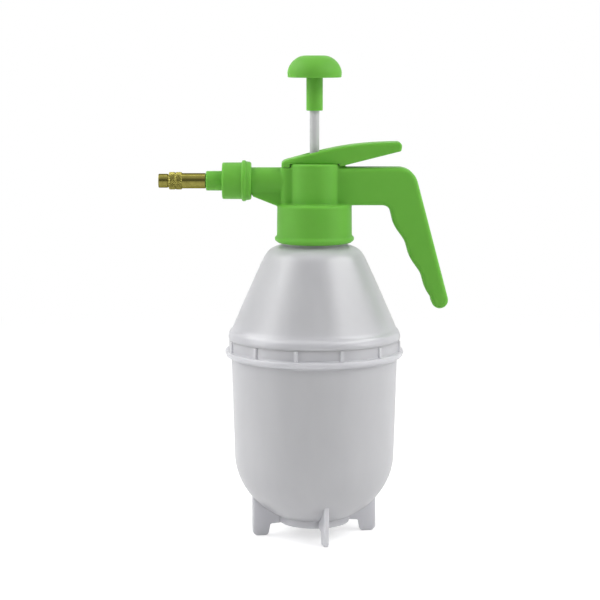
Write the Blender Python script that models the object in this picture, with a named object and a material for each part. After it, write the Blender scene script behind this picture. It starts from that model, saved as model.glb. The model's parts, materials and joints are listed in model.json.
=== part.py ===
"""Hand pump sprayer: a two-piece pressure tank, a screwed-on head with grip, lever and pump, a brass nozzle.

Sizes below are in millimetres and the mesh helpers convert them to metres.
The nozzle points to -X, the grip hangs on the +X side and +Z is up, with the feet on z = 0.
Positions are measured from the tank axis.
ROOT sets that axis so that the origin is under the middle of the box.
"""
import math

import bmesh
import bpy
from mathutils import Matrix, Vector
from mathutils.geometry import interpolate_bezier

MM = 0.001

# Gap kept between pieces that touch, and between pieces that slide
CLEARANCE = 0.3
RUNNING_GAP = 0.4

# Pump sizes that the neck and the head are built round
CYLINDER_BORE = 11.0
CYLINDER_WALL = 1.4
CYLINDER_RADIUS = CYLINDER_BORE + CYLINDER_WALL
CONNECTOR_RADIUS = 4.2
CONNECTOR_GAP = 0.6
STROKE = 45.0

# Tank radii, from the cup's outside at the weld, and a neck that passes pump and dip tube
TANK_RADIUS = 63.2
TANK_WALL = 2.3
SKIRT_RADIUS = TANK_RADIUS + 2.2
RIM_RADIUS = TANK_RADIUS + 4.5
RIB_RADIUS = TANK_RADIUS + 3.5
CUP_TOP_RADIUS = TANK_RADIUS - 0.2
BOWL_RADIUS = TANK_RADIUS - 2.2
CONE_FOOT_RADIUS = TANK_RADIUS - 0.7
NECK_WALL = 2.4
NECK_BORE = CYLINDER_RADIUS + CONNECTOR_GAP + 2 * CONNECTOR_RADIUS + 1.2
NECK_RADIUS = NECK_BORE + NECK_WALL
SHOULDER_RADIUS = NECK_RADIUS + 9.3
CONE_BULGE = 1.2

# Tank heights, stacked from the floor up
FOOT_HEIGHT = 9.5
BOWL_DEPTH = 54.5
CUP_HEIGHT = 88.0
GROOVE_HEIGHT = 8.3
RIM_HEIGHT = 2.3
RIM_ROLL = 5.0
SKIRT_HEIGHT = 5.4
SPIGOT_LENGTH = 7.6
CONE_HEIGHT = 60.2
NECK_HEIGHT = 23.0
BOWL_Z = FOOT_HEIGHT + BOWL_DEPTH
WELD_Z = BOWL_Z + CUP_HEIGHT
RIM_TOP_Z = WELD_Z - GROOVE_HEIGHT
RIM_LOW_Z = RIM_TOP_Z - RIM_HEIGHT
CUP_TOP_Z = RIM_LOW_Z - RIM_ROLL
SKIRT_TOP_Z = WELD_Z + SKIRT_HEIGHT
CONE_FOOT_Z = SKIRT_TOP_Z + 2.4
SHOULDER_Z = CONE_FOOT_Z + CONE_HEIGHT
NECK_TOP_Z = SHOULDER_Z + NECK_HEIGHT

# Ribs in the groove, fins under the bowl
RIB_COUNT = 12
RIB_WIDTH = 2.8
RIB_ANGLE = -102.3
FIN_COUNT = 4
FIN_ANGLE = -79.2
FIN_WIDTH = 3.8
BASE_DISC_RADIUS = 27.0
FIN_RADIUS = BASE_DISC_RADIUS + 21.3
FIN_WEB_RADIUS = BASE_DISC_RADIUS + 7.4
FOOT_INNER_RADIUS = BASE_DISC_RADIUS + 9
FOOT_INNER_CORNER = 3.0
FOOT_CORNER = 4.5

# Flange and gasket that the collar clamps on the neck
FLANGE_RADIUS = NECK_RADIUS - 0.6
FLANGE_THICKNESS = 2.4
GASKET_THICKNESS = 2.0

# Head: collar, boss, front column, spout and handle in one moulding
THREAD_ROOM = 0.9
COLLAR_BORE = NECK_RADIUS + THREAD_ROOM
COLLAR_RADIUS = COLLAR_BORE + 2.2
COLLAR_RING_RADIUS = COLLAR_RADIUS + 1.9
COLLAR_DEPTH = 23.1
ROOF_THICKNESS = 6.5
COLUMN_HEIGHT = 27.5
BOSS_RISE = 2.7
BOSS_RADIUS = CYLINDER_RADIUS + 7.6
ROOF_Z = NECK_TOP_Z + GASKET_THICKNESS + FLANGE_THICKNESS + 3 * CLEARANCE
COLLAR_LOW_Z = ROOF_Z - COLLAR_DEPTH
COLLAR_RING_Z = COLLAR_LOW_Z + 5.1
COLLAR_TOP_Z = ROOF_Z + ROOF_THICKNESS
DECK_Z = COLLAR_TOP_Z + COLUMN_HEIGHT
BOSS_TOP_Z = DECK_Z + BOSS_RISE
COLUMN_FRONT_X = -BOSS_RADIUS - 4.9
SPOUT_RADIUS = 10.2
SPOUT_WALL = 1.8
SPOUT_BORE = SPOUT_RADIUS - SPOUT_WALL
SPOUT_BORE_END_X = COLUMN_FRONT_X - 5.1
NOZZLE_AXIS_Z = DECK_Z - SPOUT_RADIUS - 0.2
GUSSET_HALF_WIDTH = 6.0

# Handle
ARM_HALF_WIDTH = 11.0
ARM_EDGE = 3.0
ARM_UNDER_Z = COLLAR_TOP_Z - 0.8
GRIP_TOP_CORNER_X = 74.56
GRIP_TOP_FILLET = 14.5
GRIP_SLANT = 14.94
GRIP_DROP = 106.5
GRIP_END_WIDTH = 13.0
GRIP_INNER_X = GRIP_TOP_CORNER_X - 14.26
GRIP_INNER_Z = ARM_UNDER_Z - 14.8
GRIP_INNER_SLOPE = 0.4936
GROOVE_PITCH = 24.3
GROOVE_DEPTH = 0.95
GROOVE_FIRST_Z = GRIP_INNER_Z - 12.6

# Pump, stacked down from the boss and up to the knob
LIP_BORE = 8.0
LIP_THICKNESS = 5.7
GUIDE_HEIGHT = 7.7
PISTON_HEIGHT = 8.0
PISTON_CUP_HEIGHT = 4.9
CYLINDER_FLOOR = 2.5
ROD_RADIUS = 3.6
SHANK_RADIUS = 6.2
SHANK_LENGTH = 24.7
KNOB_RADIUS = 20.4
KNOB_FLAT_RADIUS = 7.5
KNOB_HEIGHT = 16.3
KNOB_WALL = 2.4
GUIDE_TOP_Z = BOSS_TOP_Z - LIP_THICKNESS - CLEARANCE
CYLINDER_TOP_Z = GUIDE_TOP_Z - GUIDE_HEIGHT - CLEARANCE
PISTON_TOP_Z = CYLINDER_TOP_Z - 0.5
PISTON_LOW_Z = PISTON_TOP_Z - PISTON_HEIGHT
HUB_LOW_Z = PISTON_LOW_Z - PISTON_CUP_HEIGHT - 2 * CLEARANCE
CYLINDER_LOW_Z = HUB_LOW_Z - STROKE - 3 - CYLINDER_FLOOR
SHANK_LOW_Z = GUIDE_TOP_Z + STROKE + 0.6
KNOB_RIM_Z = SHANK_LOW_Z + SHANK_LENGTH
KNOB_TOP_Z = KNOB_RIM_Z + KNOB_HEIGHT

# Trigger lever and its pivot
LEVER_HALF_WIDTH = ARM_HALF_WIDTH - 0.2
LEVER_WALL = 2.2
LEVER_SKIN = 1.7
LEVER_EDGE = 1.2
LEVER_FRONT_X = COLUMN_FRONT_X + 0.1
LEVER_REAR_X = GRIP_TOP_CORNER_X - 9.1
LEVER_FRONT_TOP_Z = DECK_Z + 5.3
LEVER_REAR_TOP_Z = DECK_Z + 19.1
LEVER_REAR_LOW_Z = DECK_Z + 12.4
LEVER_UNDER_SLOPE = 0.2516
PIVOT_X = BOSS_RADIUS - 0.5
PIVOT_Z = DECK_Z + 3.7
PIN_RADIUS = 1.6
PIN_HALF_LENGTH = LEVER_HALF_WIDTH - 1
LUG_RADIUS = PIN_RADIUS + 2
LUG_HALF_WIDTH = 6.5

# Valve in the front column
VALVE_BORE = 3.3
VALVE_X = -CYLINDER_RADIUS - RUNNING_GAP - 2.5 - VALVE_BORE
PORT_RADIUS = 1.6
PORT_STEP = 0.4
PORT_Z = NOZZLE_AXIS_Z - SPOUT_BORE + PORT_STEP + PORT_RADIUS
VALVE_LOW_Z = PORT_Z - 5.9
LOWER_RING_Z = PORT_Z - 3.5
UPPER_RING_Z = PORT_Z + 3.7
VALVE_LAND_TOP_Z = PORT_Z + 5.1
VALVE_NECK_RADIUS = 1.4
VALVE_WAIST_RADIUS = 1.6
VALVE_HEAD_RADIUS = 2.6
RING_WIRE = 0.45
NOTCH_Z = DECK_Z - 1.8
NOTCH_HALF_WIDTH = LEVER_HALF_WIDTH - LEVER_WALL
SHELF_Z = NOTCH_Z + 2.5
SHELF_THICKNESS = 1.4
VALVE_HEAD_Z = SHELF_Z + SHELF_THICKNESS + 0.5
GLAND_RADIUS = VALVE_BORE + 1.3
GLAND_THICKNESS = 1.4
SPRING_TURNS = 4.5
SPRING_RADIUS = 2.35
SPRING_WIRE = 0.35

# Dip tube, beside the cylinder and clear of the bowl
CONNECTOR_LENGTH = 8.0
SOCKET_DEPTH = 4.3
DIP_X = -CYLINDER_RADIUS - CONNECTOR_GAP - CONNECTOR_RADIUS
DIP_RADIUS = 2.6
DIP_BORE = 1.7
STRAINER_RADIUS = DIP_RADIUS + 1.8
STRAINER_HEIGHT = 11.0
STRAINER_SEAT = 6.4
STRAINER_GAP = 2.0

# Nozzle, all turned about the spout axis and stacked forward from the column
NUT_RADIUS = SPOUT_RADIUS + 3.55
NUT_RING_RADIUS = NUT_RADIUS + 1.7
NUT_LENGTH = 21.9
NUT_FACE = 3.2
NOZZLE_GASKET_THICKNESS = 1.5
ADAPTOR_RADIUS = 7.45
ADAPTOR_FLANGE = 1.9
ADAPTOR_LENGTH = 12.2
STEM_RADIUS = 3.4
BARREL_RADIUS = 5.75
BARREL_BORE = STEM_RADIUS + RUNNING_GAP
BARREL_LENGTH = 18.1
KNURL_RADIUS = 6.6
KNURL_LENGTH = 9.8
TIP_RADIUS = 5.25
TIP_LENGTH = 7.9
ORIFICE_RADIUS = 0.7
NUT_REAR_X = COLUMN_FRONT_X - 22.7
NUT_FRONT_X = NUT_REAR_X - NUT_LENGTH
NUT_SEAT_X = NUT_FRONT_X + NUT_FACE
ADAPTOR_REAR_X = NUT_SEAT_X + CLEARANCE + ADAPTOR_FLANGE
SPOUT_END_X = ADAPTOR_REAR_X + NOZZLE_GASKET_THICKNESS + 2 * CLEARANCE
ADAPTOR_FRONT_X = NUT_FRONT_X - ADAPTOR_LENGTH
STEM_REAR_X = ADAPTOR_FRONT_X + 9.4
BARREL_RING_X = ADAPTOR_FRONT_X - 5.3
KNURL_REAR_X = ADAPTOR_FRONT_X - BARREL_LENGTH
KNURL_FRONT_X = KNURL_REAR_X - KNURL_LENGTH
NOZZLE_TIP_X = KNURL_FRONT_X - TIP_LENGTH

# The tank axis stands off the origin by half the difference between the two reaches
GRIP_END_CENTRE_Z = DECK_Z - GRIP_DROP + GRIP_END_WIDTH / 2
GRIP_BACK_X = GRIP_TOP_CORNER_X + (DECK_Z - GRIP_END_CENTRE_Z) * math.tan(math.radians(GRIP_SLANT))
AXIS_X = -(NOZZLE_TIP_X + GRIP_BACK_X) / 2

GREEN = "64A641"
TANK_WHITE = "C6C6CA"
ROD_GREY = "B8B8BA"
BRASS = "8C8748"
RUBBER = "2A2A2C"
STEEL = "9C9EA2"
NATURAL = "DADADC"

# Facets round a turned piece, by how large it is
TANK_STEPS = 36
HEAD_STEPS = 28
PART_STEPS = 22
SMALL_STEPS = 16
TINY_STEPS = 12


def clear_scene():
    """Remove every object that the file opened with."""
    for old in list(bpy.data.objects):
        bpy.data.objects.remove(old)


def linear(hex_colour):
    """Linear RGBA of an sRGB hex colour."""
    parts = [int(hex_colour[i:i + 2], 16) / 255 for i in (0, 2, 4)]
    return [c / 12.92 if c <= 0.04045 else ((c + 0.055) / 1.055) ** 2.4 for c in parts] + [1.0]


def paint(item, hex_colour, roughness, metallic=0.0):
    """Give an object its own Principled material."""
    look = bpy.data.materials.new(item.name + "_finish")
    look.use_nodes = True
    shader = look.node_tree.nodes["Principled BSDF"]
    shader.inputs["Base Color"].default_value = linear(hex_colour)
    shader.inputs["Roughness"].default_value = roughness
    shader.inputs["Metallic"].default_value = metallic
    item.data.materials.append(look)
    return item


def finish_mesh(name, bm, smooth_angle=35):
    """Turn a bmesh in millimetres into an object in metres under the root."""
    bmesh.ops.recalc_face_normals(bm, faces=bm.faces)
    bm.transform(Matrix.Scale(MM, 4))
    mesh = bpy.data.meshes.new(name)
    bm.to_mesh(mesh)
    bm.free()
    mesh.shade_smooth()
    mesh.set_sharp_from_angle(angle=math.radians(smooth_angle))
    item = bpy.data.objects.new(name, mesh)
    bpy.context.scene.collection.objects.link(item)
    item.parent = ROOT
    return item


AXIS_TURN = {
    "Z": Matrix.Identity(4),
    "X": Matrix.Rotation(math.pi / 2, 4, "Y"),
    "Y": Matrix.Rotation(-math.pi / 2, 4, "X"),
}


def turned(name, profile, axis="Z", centre=(0, 0, 0), steps=PART_STEPS):
    """Revolve a closed (radius, height) profile about an axis through centre."""
    bm = bmesh.new()
    points = [bm.verts.new((radius, 0, height)) for radius, height in profile]
    pairs = zip(points, points[1:] + points[:1])
    edges = [bm.edges.new(pair) for pair in pairs if pair[0].co.x > 0 or pair[1].co.x > 0]
    bmesh.ops.spin(
        bm,
        geom=points + edges,
        axis=(0, 0, 1),
        cent=(0, 0, 0),
        steps=steps,
        angle=math.tau,
        use_merge=True,
    )
    bmesh.ops.remove_doubles(bm, verts=bm.verts, dist=0.002)
    bm.normal_update()
    # A flat end is one face, because spokes that line up with the facets of a bore spoil its cut
    hubs = [v for v in bm.verts if v.co.xy.length < 0.001 and abs(v.link_faces[0].normal.z) > 0.9999]
    bmesh.ops.dissolve_verts(bm, verts=hubs)
    bm.transform(Matrix.Translation(centre) @ AXIS_TURN[axis])
    return finish_mesh(name, bm)


def rod(name, radius, low, high, axis="Z", centre=(0, 0, 0), steps=SMALL_STEPS):
    """A plain round bar between two heights along an axis."""
    return turned(name, [(0, high), (radius, high), (radius, low), (0, low)], axis, centre, steps)


def ring(name, inner, outer, low, high, axis="Z", centre=(0, 0, 0), steps=PART_STEPS):
    """A square-edged ring between two heights along an axis."""
    profile = [(inner, high), (outer, high), (outer, low), (inner, low)]
    return turned(name, profile, axis, centre, steps)


def o_ring(name, radius, wire, axis, centre, steps=SMALL_STEPS):
    """A round-section ring whose centre line has the given radius."""
    profile = [(radius + x, h) for x, h in arc(0, 0, wire, 90, -270, 6)[:-1]]
    return turned(name, profile, axis, centre, steps)


def extruded(name, outline, low, high, along="Y", edge=0.0, edge_steps=2):
    """Extrude an outline: (x, z) points along Y, or (x, y) points along Z, with rounded end edges."""
    bm = bmesh.new()
    if along == "Y":
        base = [bm.verts.new((x, low, z)) for x, z in outline]
        step = Vector((0, high - low, 0))
    else:
        base = [bm.verts.new((x, y, low)) for x, y in outline]
        step = Vector((0, 0, high - low))
    face = bm.faces.new(base)
    grown = bmesh.ops.extrude_face_region(bm, geom=[face])["geom"]
    bmesh.ops.translate(bm, vec=step, verts=[v for v in grown if isinstance(v, bmesh.types.BMVert)])
    if edge:
        rims = [e for e in bm.edges if abs((e.verts[1].co - e.verts[0].co).dot(step)) < 1e-6]
        bmesh.ops.bevel(bm, geom=rims, offset=edge, segments=edge_steps, profile=0.5, affect="EDGES")
    return finish_mesh(name, bm)


def arc(x, z, radius, start, end, steps):
    """Points along an arc, angles in degrees."""
    turns = [math.radians(start + (end - start) * i / steps) for i in range(steps + 1)]
    return [(x + radius * math.cos(t), z + radius * math.sin(t)) for t in turns]


def rounded(corners, steps=4):
    """Outline through (x, z, radius) corners, each with a radius turned by an arc."""
    outline = []
    count = len(corners)
    for i, (x, z, radius) in enumerate(corners):
        here = Vector((x, z))
        if not radius:
            outline.append((x, z))
            continue
        to_last = (Vector(corners[i - 1][:2]) - here).normalized()
        to_next = (Vector(corners[(i + 1) % count][:2]) - here).normalized()
        half = to_last.angle(to_next) / 2
        centre = here + (to_last + to_next).normalized() * radius / math.sin(half)
        first = here + to_last * radius / math.tan(half) - centre
        last = here + to_next * radius / math.tan(half) - centre
        swing = first.angle_signed(last)
        for k in range(steps + 1):
            spoke = Matrix.Rotation(-swing * k / steps, 2) @ first
            outline.append(tuple(centre + spoke))
    return outline


def bezier(start, handle, far_handle, end, steps):
    """Points along a cubic curve."""
    knots = [Vector((x, z, 0)) for x, z in (start, handle, far_handle, end)]
    return [(p.x, p.y) for p in interpolate_bezier(*knots, steps)]


def combine(target, tool, operation):
    """Join or cut with a tool that stays in the file as a hidden wire."""
    step = target.modifiers.new(tool.name, "BOOLEAN")
    step.operation = operation
    step.object = tool
    step.solver = "EXACT"
    tool.hide_render = True
    tool.display_type = "WIRE"


def join(target, *tools):
    """Unite tools with the target."""
    for tool in tools:
        combine(target, tool, "UNION")


def cut(target, *tools):
    """Cut tools out of the target."""
    for tool in tools:
        combine(target, tool, "DIFFERENCE")


def carry(pivot_name, place, *items):
    """Hang moving pieces on an empty that stands on their joint's axis."""
    pivot = bpy.data.objects.new(pivot_name, None)
    bpy.context.scene.collection.objects.link(pivot)
    pivot.parent = ROOT
    pivot.location = Vector(place) * MM
    for item in items:
        item.parent = pivot
        item.matrix_parent_inverse = Matrix.Translation(-pivot.location)


def ellipse_z(radius, wide, deep):
    """Height of the bowl at a radius, for an ellipse centred at BOWL_Z."""
    return BOWL_Z - deep * math.sqrt(1 - (radius / wide) ** 2)


def ellipse_points(inner, outer, wide, deep, steps):
    """Points along the bowl from the outer to the inner radius, evenly spaced by angle."""
    first = math.acos(min(1.0, outer / wide))
    last = math.acos(inner / wide)
    turns = [first + (last - first) * i / steps for i in range(steps + 1)]
    return [(wide * math.cos(t), BOWL_Z - deep * math.sin(t)) for t in turns]


def tank_upper_cone():
    """Cone with neck, rounded shoulder, skirt and the spigot that is welded into the cup."""
    spigot = TANK_RADIUS - TANK_WALL - CLEARANCE
    spigot_bore = spigot - TANK_WALL + CLEARANCE
    slant = math.atan2(CONE_FOOT_RADIUS - SHOULDER_RADIUS, SHOULDER_Z - CONE_FOOT_Z)
    wall = TANK_WALL / math.cos(slant)
    middle = ((SHOULDER_RADIUS + CONE_FOOT_RADIUS) / 2 + CONE_BULGE, (SHOULDER_Z + CONE_FOOT_Z) / 2)
    shoulder = bezier(
        (NECK_RADIUS, SHOULDER_Z + 4.4),
        (NECK_RADIUS + 1, SHOULDER_Z + 2.4),
        (SHOULDER_RADIUS - 3, SHOULDER_Z + 2.9),
        (SHOULDER_RADIUS + 0.5, SHOULDER_Z + 0.6),
        5,
    )
    bend = (SHOULDER_RADIUS + 3.6, SHOULDER_Z - 5.4)
    cone = bezier(bend, middle, middle, (CONE_FOOT_RADIUS, CONE_FOOT_Z), 5)
    outside = [(NECK_RADIUS, NECK_TOP_Z)] + shoulder + cone
    outside += [(SKIRT_RADIUS - 1.5, SKIRT_TOP_Z + 0.9), (SKIRT_RADIUS - 0.6, SKIRT_TOP_Z - 0.7)]
    outside += [(SKIRT_RADIUS, SKIRT_TOP_Z - 2.4), (SKIRT_RADIUS, WELD_Z + 1), (SKIRT_RADIUS - 0.8, WELD_Z)]
    low = WELD_Z - SPIGOT_LENGTH
    inside = [(spigot, WELD_Z), (spigot, low), (spigot_bore, low)]
    inside += [(radius - wall, z) for radius, z in reversed(cone) if radius - wall < spigot_bore - 0.5]
    inside += [(SHOULDER_RADIUS - TANK_WALL, SHOULDER_Z - TANK_WALL), (NECK_BORE + 2, SHOULDER_Z - 0.6)]
    inside += [(NECK_BORE, SHOULDER_Z + 2), (NECK_BORE, NECK_TOP_Z)]
    return paint(turned("tank_upper_cone", outside + inside, steps=TANK_STEPS), TANK_WHITE, 0.42)


def cup_ribs():
    """Upright ribs in the groove above the rim, as one tool of separate blocks."""
    bm = bmesh.new()
    height = WELD_Z - CLEARANCE - RIM_TOP_Z
    for k in range(RIB_COUNT):
        turn = Matrix.Rotation(math.radians(RIB_ANGLE + 360 * k / RIB_COUNT), 4, "Z")
        deep = RIB_RADIUS - TANK_RADIUS + 1
        place = Matrix.Translation((RIB_RADIUS - deep / 2, 0, RIM_TOP_Z + height / 2 - 0.6))
        size = Matrix.Diagonal((deep, RIB_WIDTH, height + 0.6, 1))
        bmesh.ops.create_cube(bm, size=1, matrix=turn @ place @ size)
    return finish_mesh("cup_ribs", bm)


def cup_fin(index):
    """One radial fin with a flat foot, its top edge buried in the bowl's wall."""
    half = TANK_WALL / 2
    buried = ellipse_points(BASE_DISC_RADIUS - 6, FIN_RADIUS, BOWL_RADIUS - half, BOWL_DEPTH - half, 6)
    foot = rounded([
        (FIN_WEB_RADIUS, FOOT_HEIGHT - 0.7, 1.5),
        (FOOT_INNER_RADIUS, 0, FOOT_INNER_CORNER),
        (FIN_RADIUS, 0, FOOT_CORNER),
        (FIN_RADIUS, buried[0][1], 0),
    ], 3)
    outline = [(BASE_DISC_RADIUS - 6, FOOT_HEIGHT + 0.4)] + foot[:-1] + buried
    fin = extruded(f"cup_fin_{index}", outline, -FIN_WIDTH / 2, FIN_WIDTH / 2)
    fin.data.transform(Matrix.Rotation(math.radians(FIN_ANGLE + 360 * index / FIN_COUNT), 4, "Z"))
    return fin


def tank_lower_cup():
    """Cup with the weld groove, ribs, rolled rim, bowl, base disc and four standing fins."""
    top = WELD_Z - CLEARANCE
    outside = [(TANK_RADIUS, top), (TANK_RADIUS, RIM_TOP_Z), (RIM_RADIUS - 0.8, RIM_TOP_Z)]
    outside += [(RIM_RADIUS, RIM_TOP_Z - 0.8), (RIM_RADIUS, RIM_LOW_Z)]
    outside += bezier(
        (RIM_RADIUS - 0.9, RIM_LOW_Z - 1.8),
        (RIM_RADIUS - 2, RIM_LOW_Z - 3.4),
        (CUP_TOP_RADIUS + 0.2, CUP_TOP_Z + 3),
        (CUP_TOP_RADIUS, CUP_TOP_Z),
        4,
    )
    outside += ellipse_points(BASE_DISC_RADIUS, BOWL_RADIUS, BOWL_RADIUS, BOWL_DEPTH, 7)
    outside += [(BASE_DISC_RADIUS, FOOT_HEIGHT), (0, FOOT_HEIGHT)]
    inner_wide = BOWL_RADIUS - TANK_WALL
    inside = list(reversed(ellipse_points(0, inner_wide, inner_wide, BOWL_DEPTH - TANK_WALL, 7)))
    inside += [(CUP_TOP_RADIUS - TANK_WALL, CUP_TOP_Z), (TANK_RADIUS - TANK_WALL, RIM_TOP_Z - 0.5)]
    inside += [(TANK_RADIUS - TANK_WALL, top)]
    cup = turned("tank_lower_cup", outside + inside, steps=TANK_STEPS)
    join(cup, cup_ribs(), *[cup_fin(k) for k in range(FIN_COUNT)])
    return paint(cup, TANK_WHITE, 0.42)


def handle():
    """Arm and grip in one outline: filleted top corner, round end and three finger grooves."""
    down = Vector((math.sin(math.radians(GRIP_SLANT)), -math.cos(math.radians(GRIP_SLANT))))
    inward = Vector((down.y, -down.x))
    half = GRIP_END_WIDTH / 2
    centre = Vector((GRIP_BACK_X - half / math.cos(math.radians(GRIP_SLANT)), GRIP_END_CENTRE_Z))
    back_corner = centre + half * down - half * inward
    front_corner = centre + half * down + half * inward
    wave = []
    samples = 14
    low_z = GRIP_END_CENTRE_Z + 2
    for k in range(samples + 1):
        z = low_z + (GRIP_INNER_Z + 2 - low_z) * k / samples
        swell = GROOVE_DEPTH * math.cos(math.tau * (z - GROOVE_FIRST_Z) / GROOVE_PITCH)
        wave.append((GRIP_INNER_X + GRIP_INNER_SLOPE * (GRIP_INNER_Z - z) + 0.4 + swell, z, 0))
    inner_corner = (GRIP_INNER_X - 4.5, ARM_UNDER_Z, 6)
    corners = [
        (4, DECK_Z, 0),
        (GRIP_TOP_CORNER_X, DECK_Z, GRIP_TOP_FILLET),
        (*back_corner, half - 0.2),
        (*front_corner, half - 0.2),
        *wave,
        inner_corner,
        (4, ARM_UNDER_Z, 0),
    ]
    outline = rounded(corners, 5)
    return extruded("handle", outline, -ARM_HALF_WIDTH, ARM_HALF_WIDTH, edge=ARM_EDGE)


def head_body():
    """Collar, roof, boss, column, spout, gusset, handle and lever lug, bored for pump, valve and nozzle."""
    edge = arc(COLLAR_RADIUS - 2, COLLAR_TOP_Z - 2, 2, 90, 0, 3)
    collar = [(0, COLLAR_TOP_Z)] + edge + [(COLLAR_RADIUS + 0.3, COLLAR_RING_Z)]
    collar += [(COLLAR_RING_RADIUS, COLLAR_RING_Z - 0.7), (COLLAR_RING_RADIUS, COLLAR_RING_Z - 3)]
    collar += [(COLLAR_RING_RADIUS - 2.6, COLLAR_LOW_Z), (COLLAR_BORE, COLLAR_LOW_Z)]
    collar += [(COLLAR_BORE, ROOF_Z), (0, ROOF_Z)]
    body = turned("head_body", collar, steps=HEAD_STEPS)
    inside_roof = ROOF_Z + 2
    boss_edge = arc(BOSS_RADIUS - 1, BOSS_TOP_Z - 1, 1, 90, 0, 2)
    boss_profile = [(0, BOSS_TOP_Z)] + boss_edge + [(BOSS_RADIUS, inside_roof), (0, inside_roof)]
    boss = turned("boss", boss_profile, steps=HEAD_STEPS)
    column = extruded(
        "column",
        rounded([
            (COLUMN_FRONT_X, -ARM_HALF_WIDTH, 3.5),
            (0, -ARM_HALF_WIDTH, 0),
            (0, ARM_HALF_WIDTH, 0),
            (COLUMN_FRONT_X, ARM_HALF_WIDTH, 3.5),
        ]),
        inside_roof + 0.7, DECK_Z, along="Z",
    )
    nozzle_axis = (0, 0, NOZZLE_AXIS_Z)
    spout = rod("spout", SPOUT_RADIUS, SPOUT_END_X, COLUMN_FRONT_X + 2, "X", nozzle_axis, PART_STEPS)
    gusset_front = NUT_REAR_X + 0.8
    gusset_top = NOZZLE_AXIS_Z - SPOUT_RADIUS / 2
    gusset_low = COLLAR_TOP_Z - 2.5
    gusset_rear = COLUMN_FRONT_X + 3
    gusset = extruded(
        "gusset",
        [
            (gusset_front, gusset_top),
            (gusset_front, NOZZLE_AXIS_Z - SPOUT_RADIUS - 1.2),
            (COLUMN_FRONT_X - 1.1, gusset_low),
            (gusset_rear, gusset_low),
            (gusset_rear, gusset_top),
        ],
        -GUSSET_HALF_WIDTH, GUSSET_HALF_WIDTH,
    )
    lug_outline = [(PIVOT_X - LUG_RADIUS, DECK_Z - 2)] + [(PIVOT_X + LUG_RADIUS, DECK_Z - 2)]
    lug_outline += arc(PIVOT_X, PIVOT_Z, LUG_RADIUS, 0, 180, 8)
    lug = extruded("lug", lug_outline, -LUG_HALF_WIDTH, LUG_HALF_WIDTH)
    join(body, boss, column, handle(), spout, gusset, lug)
    pump_room = CYLINDER_RADIUS + RUNNING_GAP
    lip_z = GUIDE_TOP_Z + CLEARANCE
    above = BOSS_TOP_Z + 5
    below = ROOF_Z - 3
    bore = [(0, above), (LIP_BORE, above), (LIP_BORE, lip_z)]
    bore += [(pump_room, lip_z), (pump_room, below), (0, below)]
    notch_front = COLUMN_FRONT_X + 1.7
    notch_rear = -pump_room - 0.5
    notch = [(notch_front, NOTCH_Z), (notch_rear, NOTCH_Z), (notch_rear, above), (notch_front, above)]
    pivot = (PIVOT_X, 0, PIVOT_Z)
    cut(
        body,
        turned("pump_bore", bore, steps=PART_STEPS),
        rod("valve_bore", VALVE_BORE, ROOF_Z - 2, NOTCH_Z + 1, centre=(VALVE_X, 0, 0), steps=SMALL_STEPS),
        extruded("valve_notch", notch, -NOTCH_HALF_WIDTH, NOTCH_HALF_WIDTH),
        rod("spout_bore", SPOUT_BORE, SPOUT_END_X - 2, SPOUT_BORE_END_X, "X", nozzle_axis, PART_STEPS),
        rod("valve_port", PORT_RADIUS, SPOUT_BORE_END_X - 1, VALVE_X, "X", (0, 0, PORT_Z), TINY_STEPS),
        rod("pin_hole", PIN_RADIUS + CLEARANCE, -ARM_HALF_WIDTH, ARM_HALF_WIDTH, "Y", pivot, TINY_STEPS),
    )
    return paint(body, GREEN, 0.36)


def pump_cylinder():
    """Open-topped cylinder with the flange that closes the neck and an air hole in its floor."""
    flange_top = ROOF_Z - CLEARANCE
    flange_low = flange_top - FLANGE_THICKNESS
    air_hole = 3.0
    floor = CYLINDER_LOW_Z + CYLINDER_FLOOR
    profile = [
        (CYLINDER_RADIUS, CYLINDER_TOP_Z),
        (CYLINDER_RADIUS, flange_top),
        (FLANGE_RADIUS, flange_top),
        (FLANGE_RADIUS, flange_low),
        (CYLINDER_RADIUS, flange_low),
        (CYLINDER_RADIUS, CYLINDER_LOW_Z),
        (air_hole, CYLINDER_LOW_Z),
        (air_hole, floor),
        (CYLINDER_BORE, floor),
        (CYLINDER_BORE, CYLINDER_TOP_Z),
    ]
    cylinder = turned("pump_cylinder", profile)
    hole = CONNECTOR_RADIUS + CLEARANCE
    cut(cylinder, rod("connector_hole", hole, flange_low - 1, flange_top + 1, centre=(DIP_X, 0, 0)))
    return paint(cylinder, NATURAL, 0.4)


def pump_fixed_parts():
    """Seal, rod guide and non-return valve that stay with the cylinder."""
    seal_top = ROOF_Z - 2 * CLEARANCE - FLANGE_THICKNESS
    seal = ring("neck_gasket", NECK_BORE - 0.7, NECK_RADIUS - 0.2, seal_top - GASKET_THICKNESS, seal_top)
    paint(seal, RUBBER, 0.7)
    low = CYLINDER_TOP_Z + CLEARANCE
    guide = ring("rod_guide", ROD_RADIUS + CLEARANCE, CYLINDER_RADIUS, low, GUIDE_TOP_Z)
    paint(guide, NATURAL, 0.4)
    top = CYLINDER_LOW_Z - CLEARANCE
    paint(rod("check_valve_disc", 6.5, top - 2.4, top), RUBBER, 0.7)
    wall = 1.5
    outlet = 3.0
    low = top - 8.5
    profile = [
        (CYLINDER_RADIUS, top),
        (CYLINDER_RADIUS, low),
        (outlet, low),
        (outlet, low + wall),
        (CYLINDER_RADIUS - wall, low + wall),
        (CYLINDER_RADIUS - wall, top),
    ]
    paint(turned("check_valve_cage", profile), NATURAL, 0.4)


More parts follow.
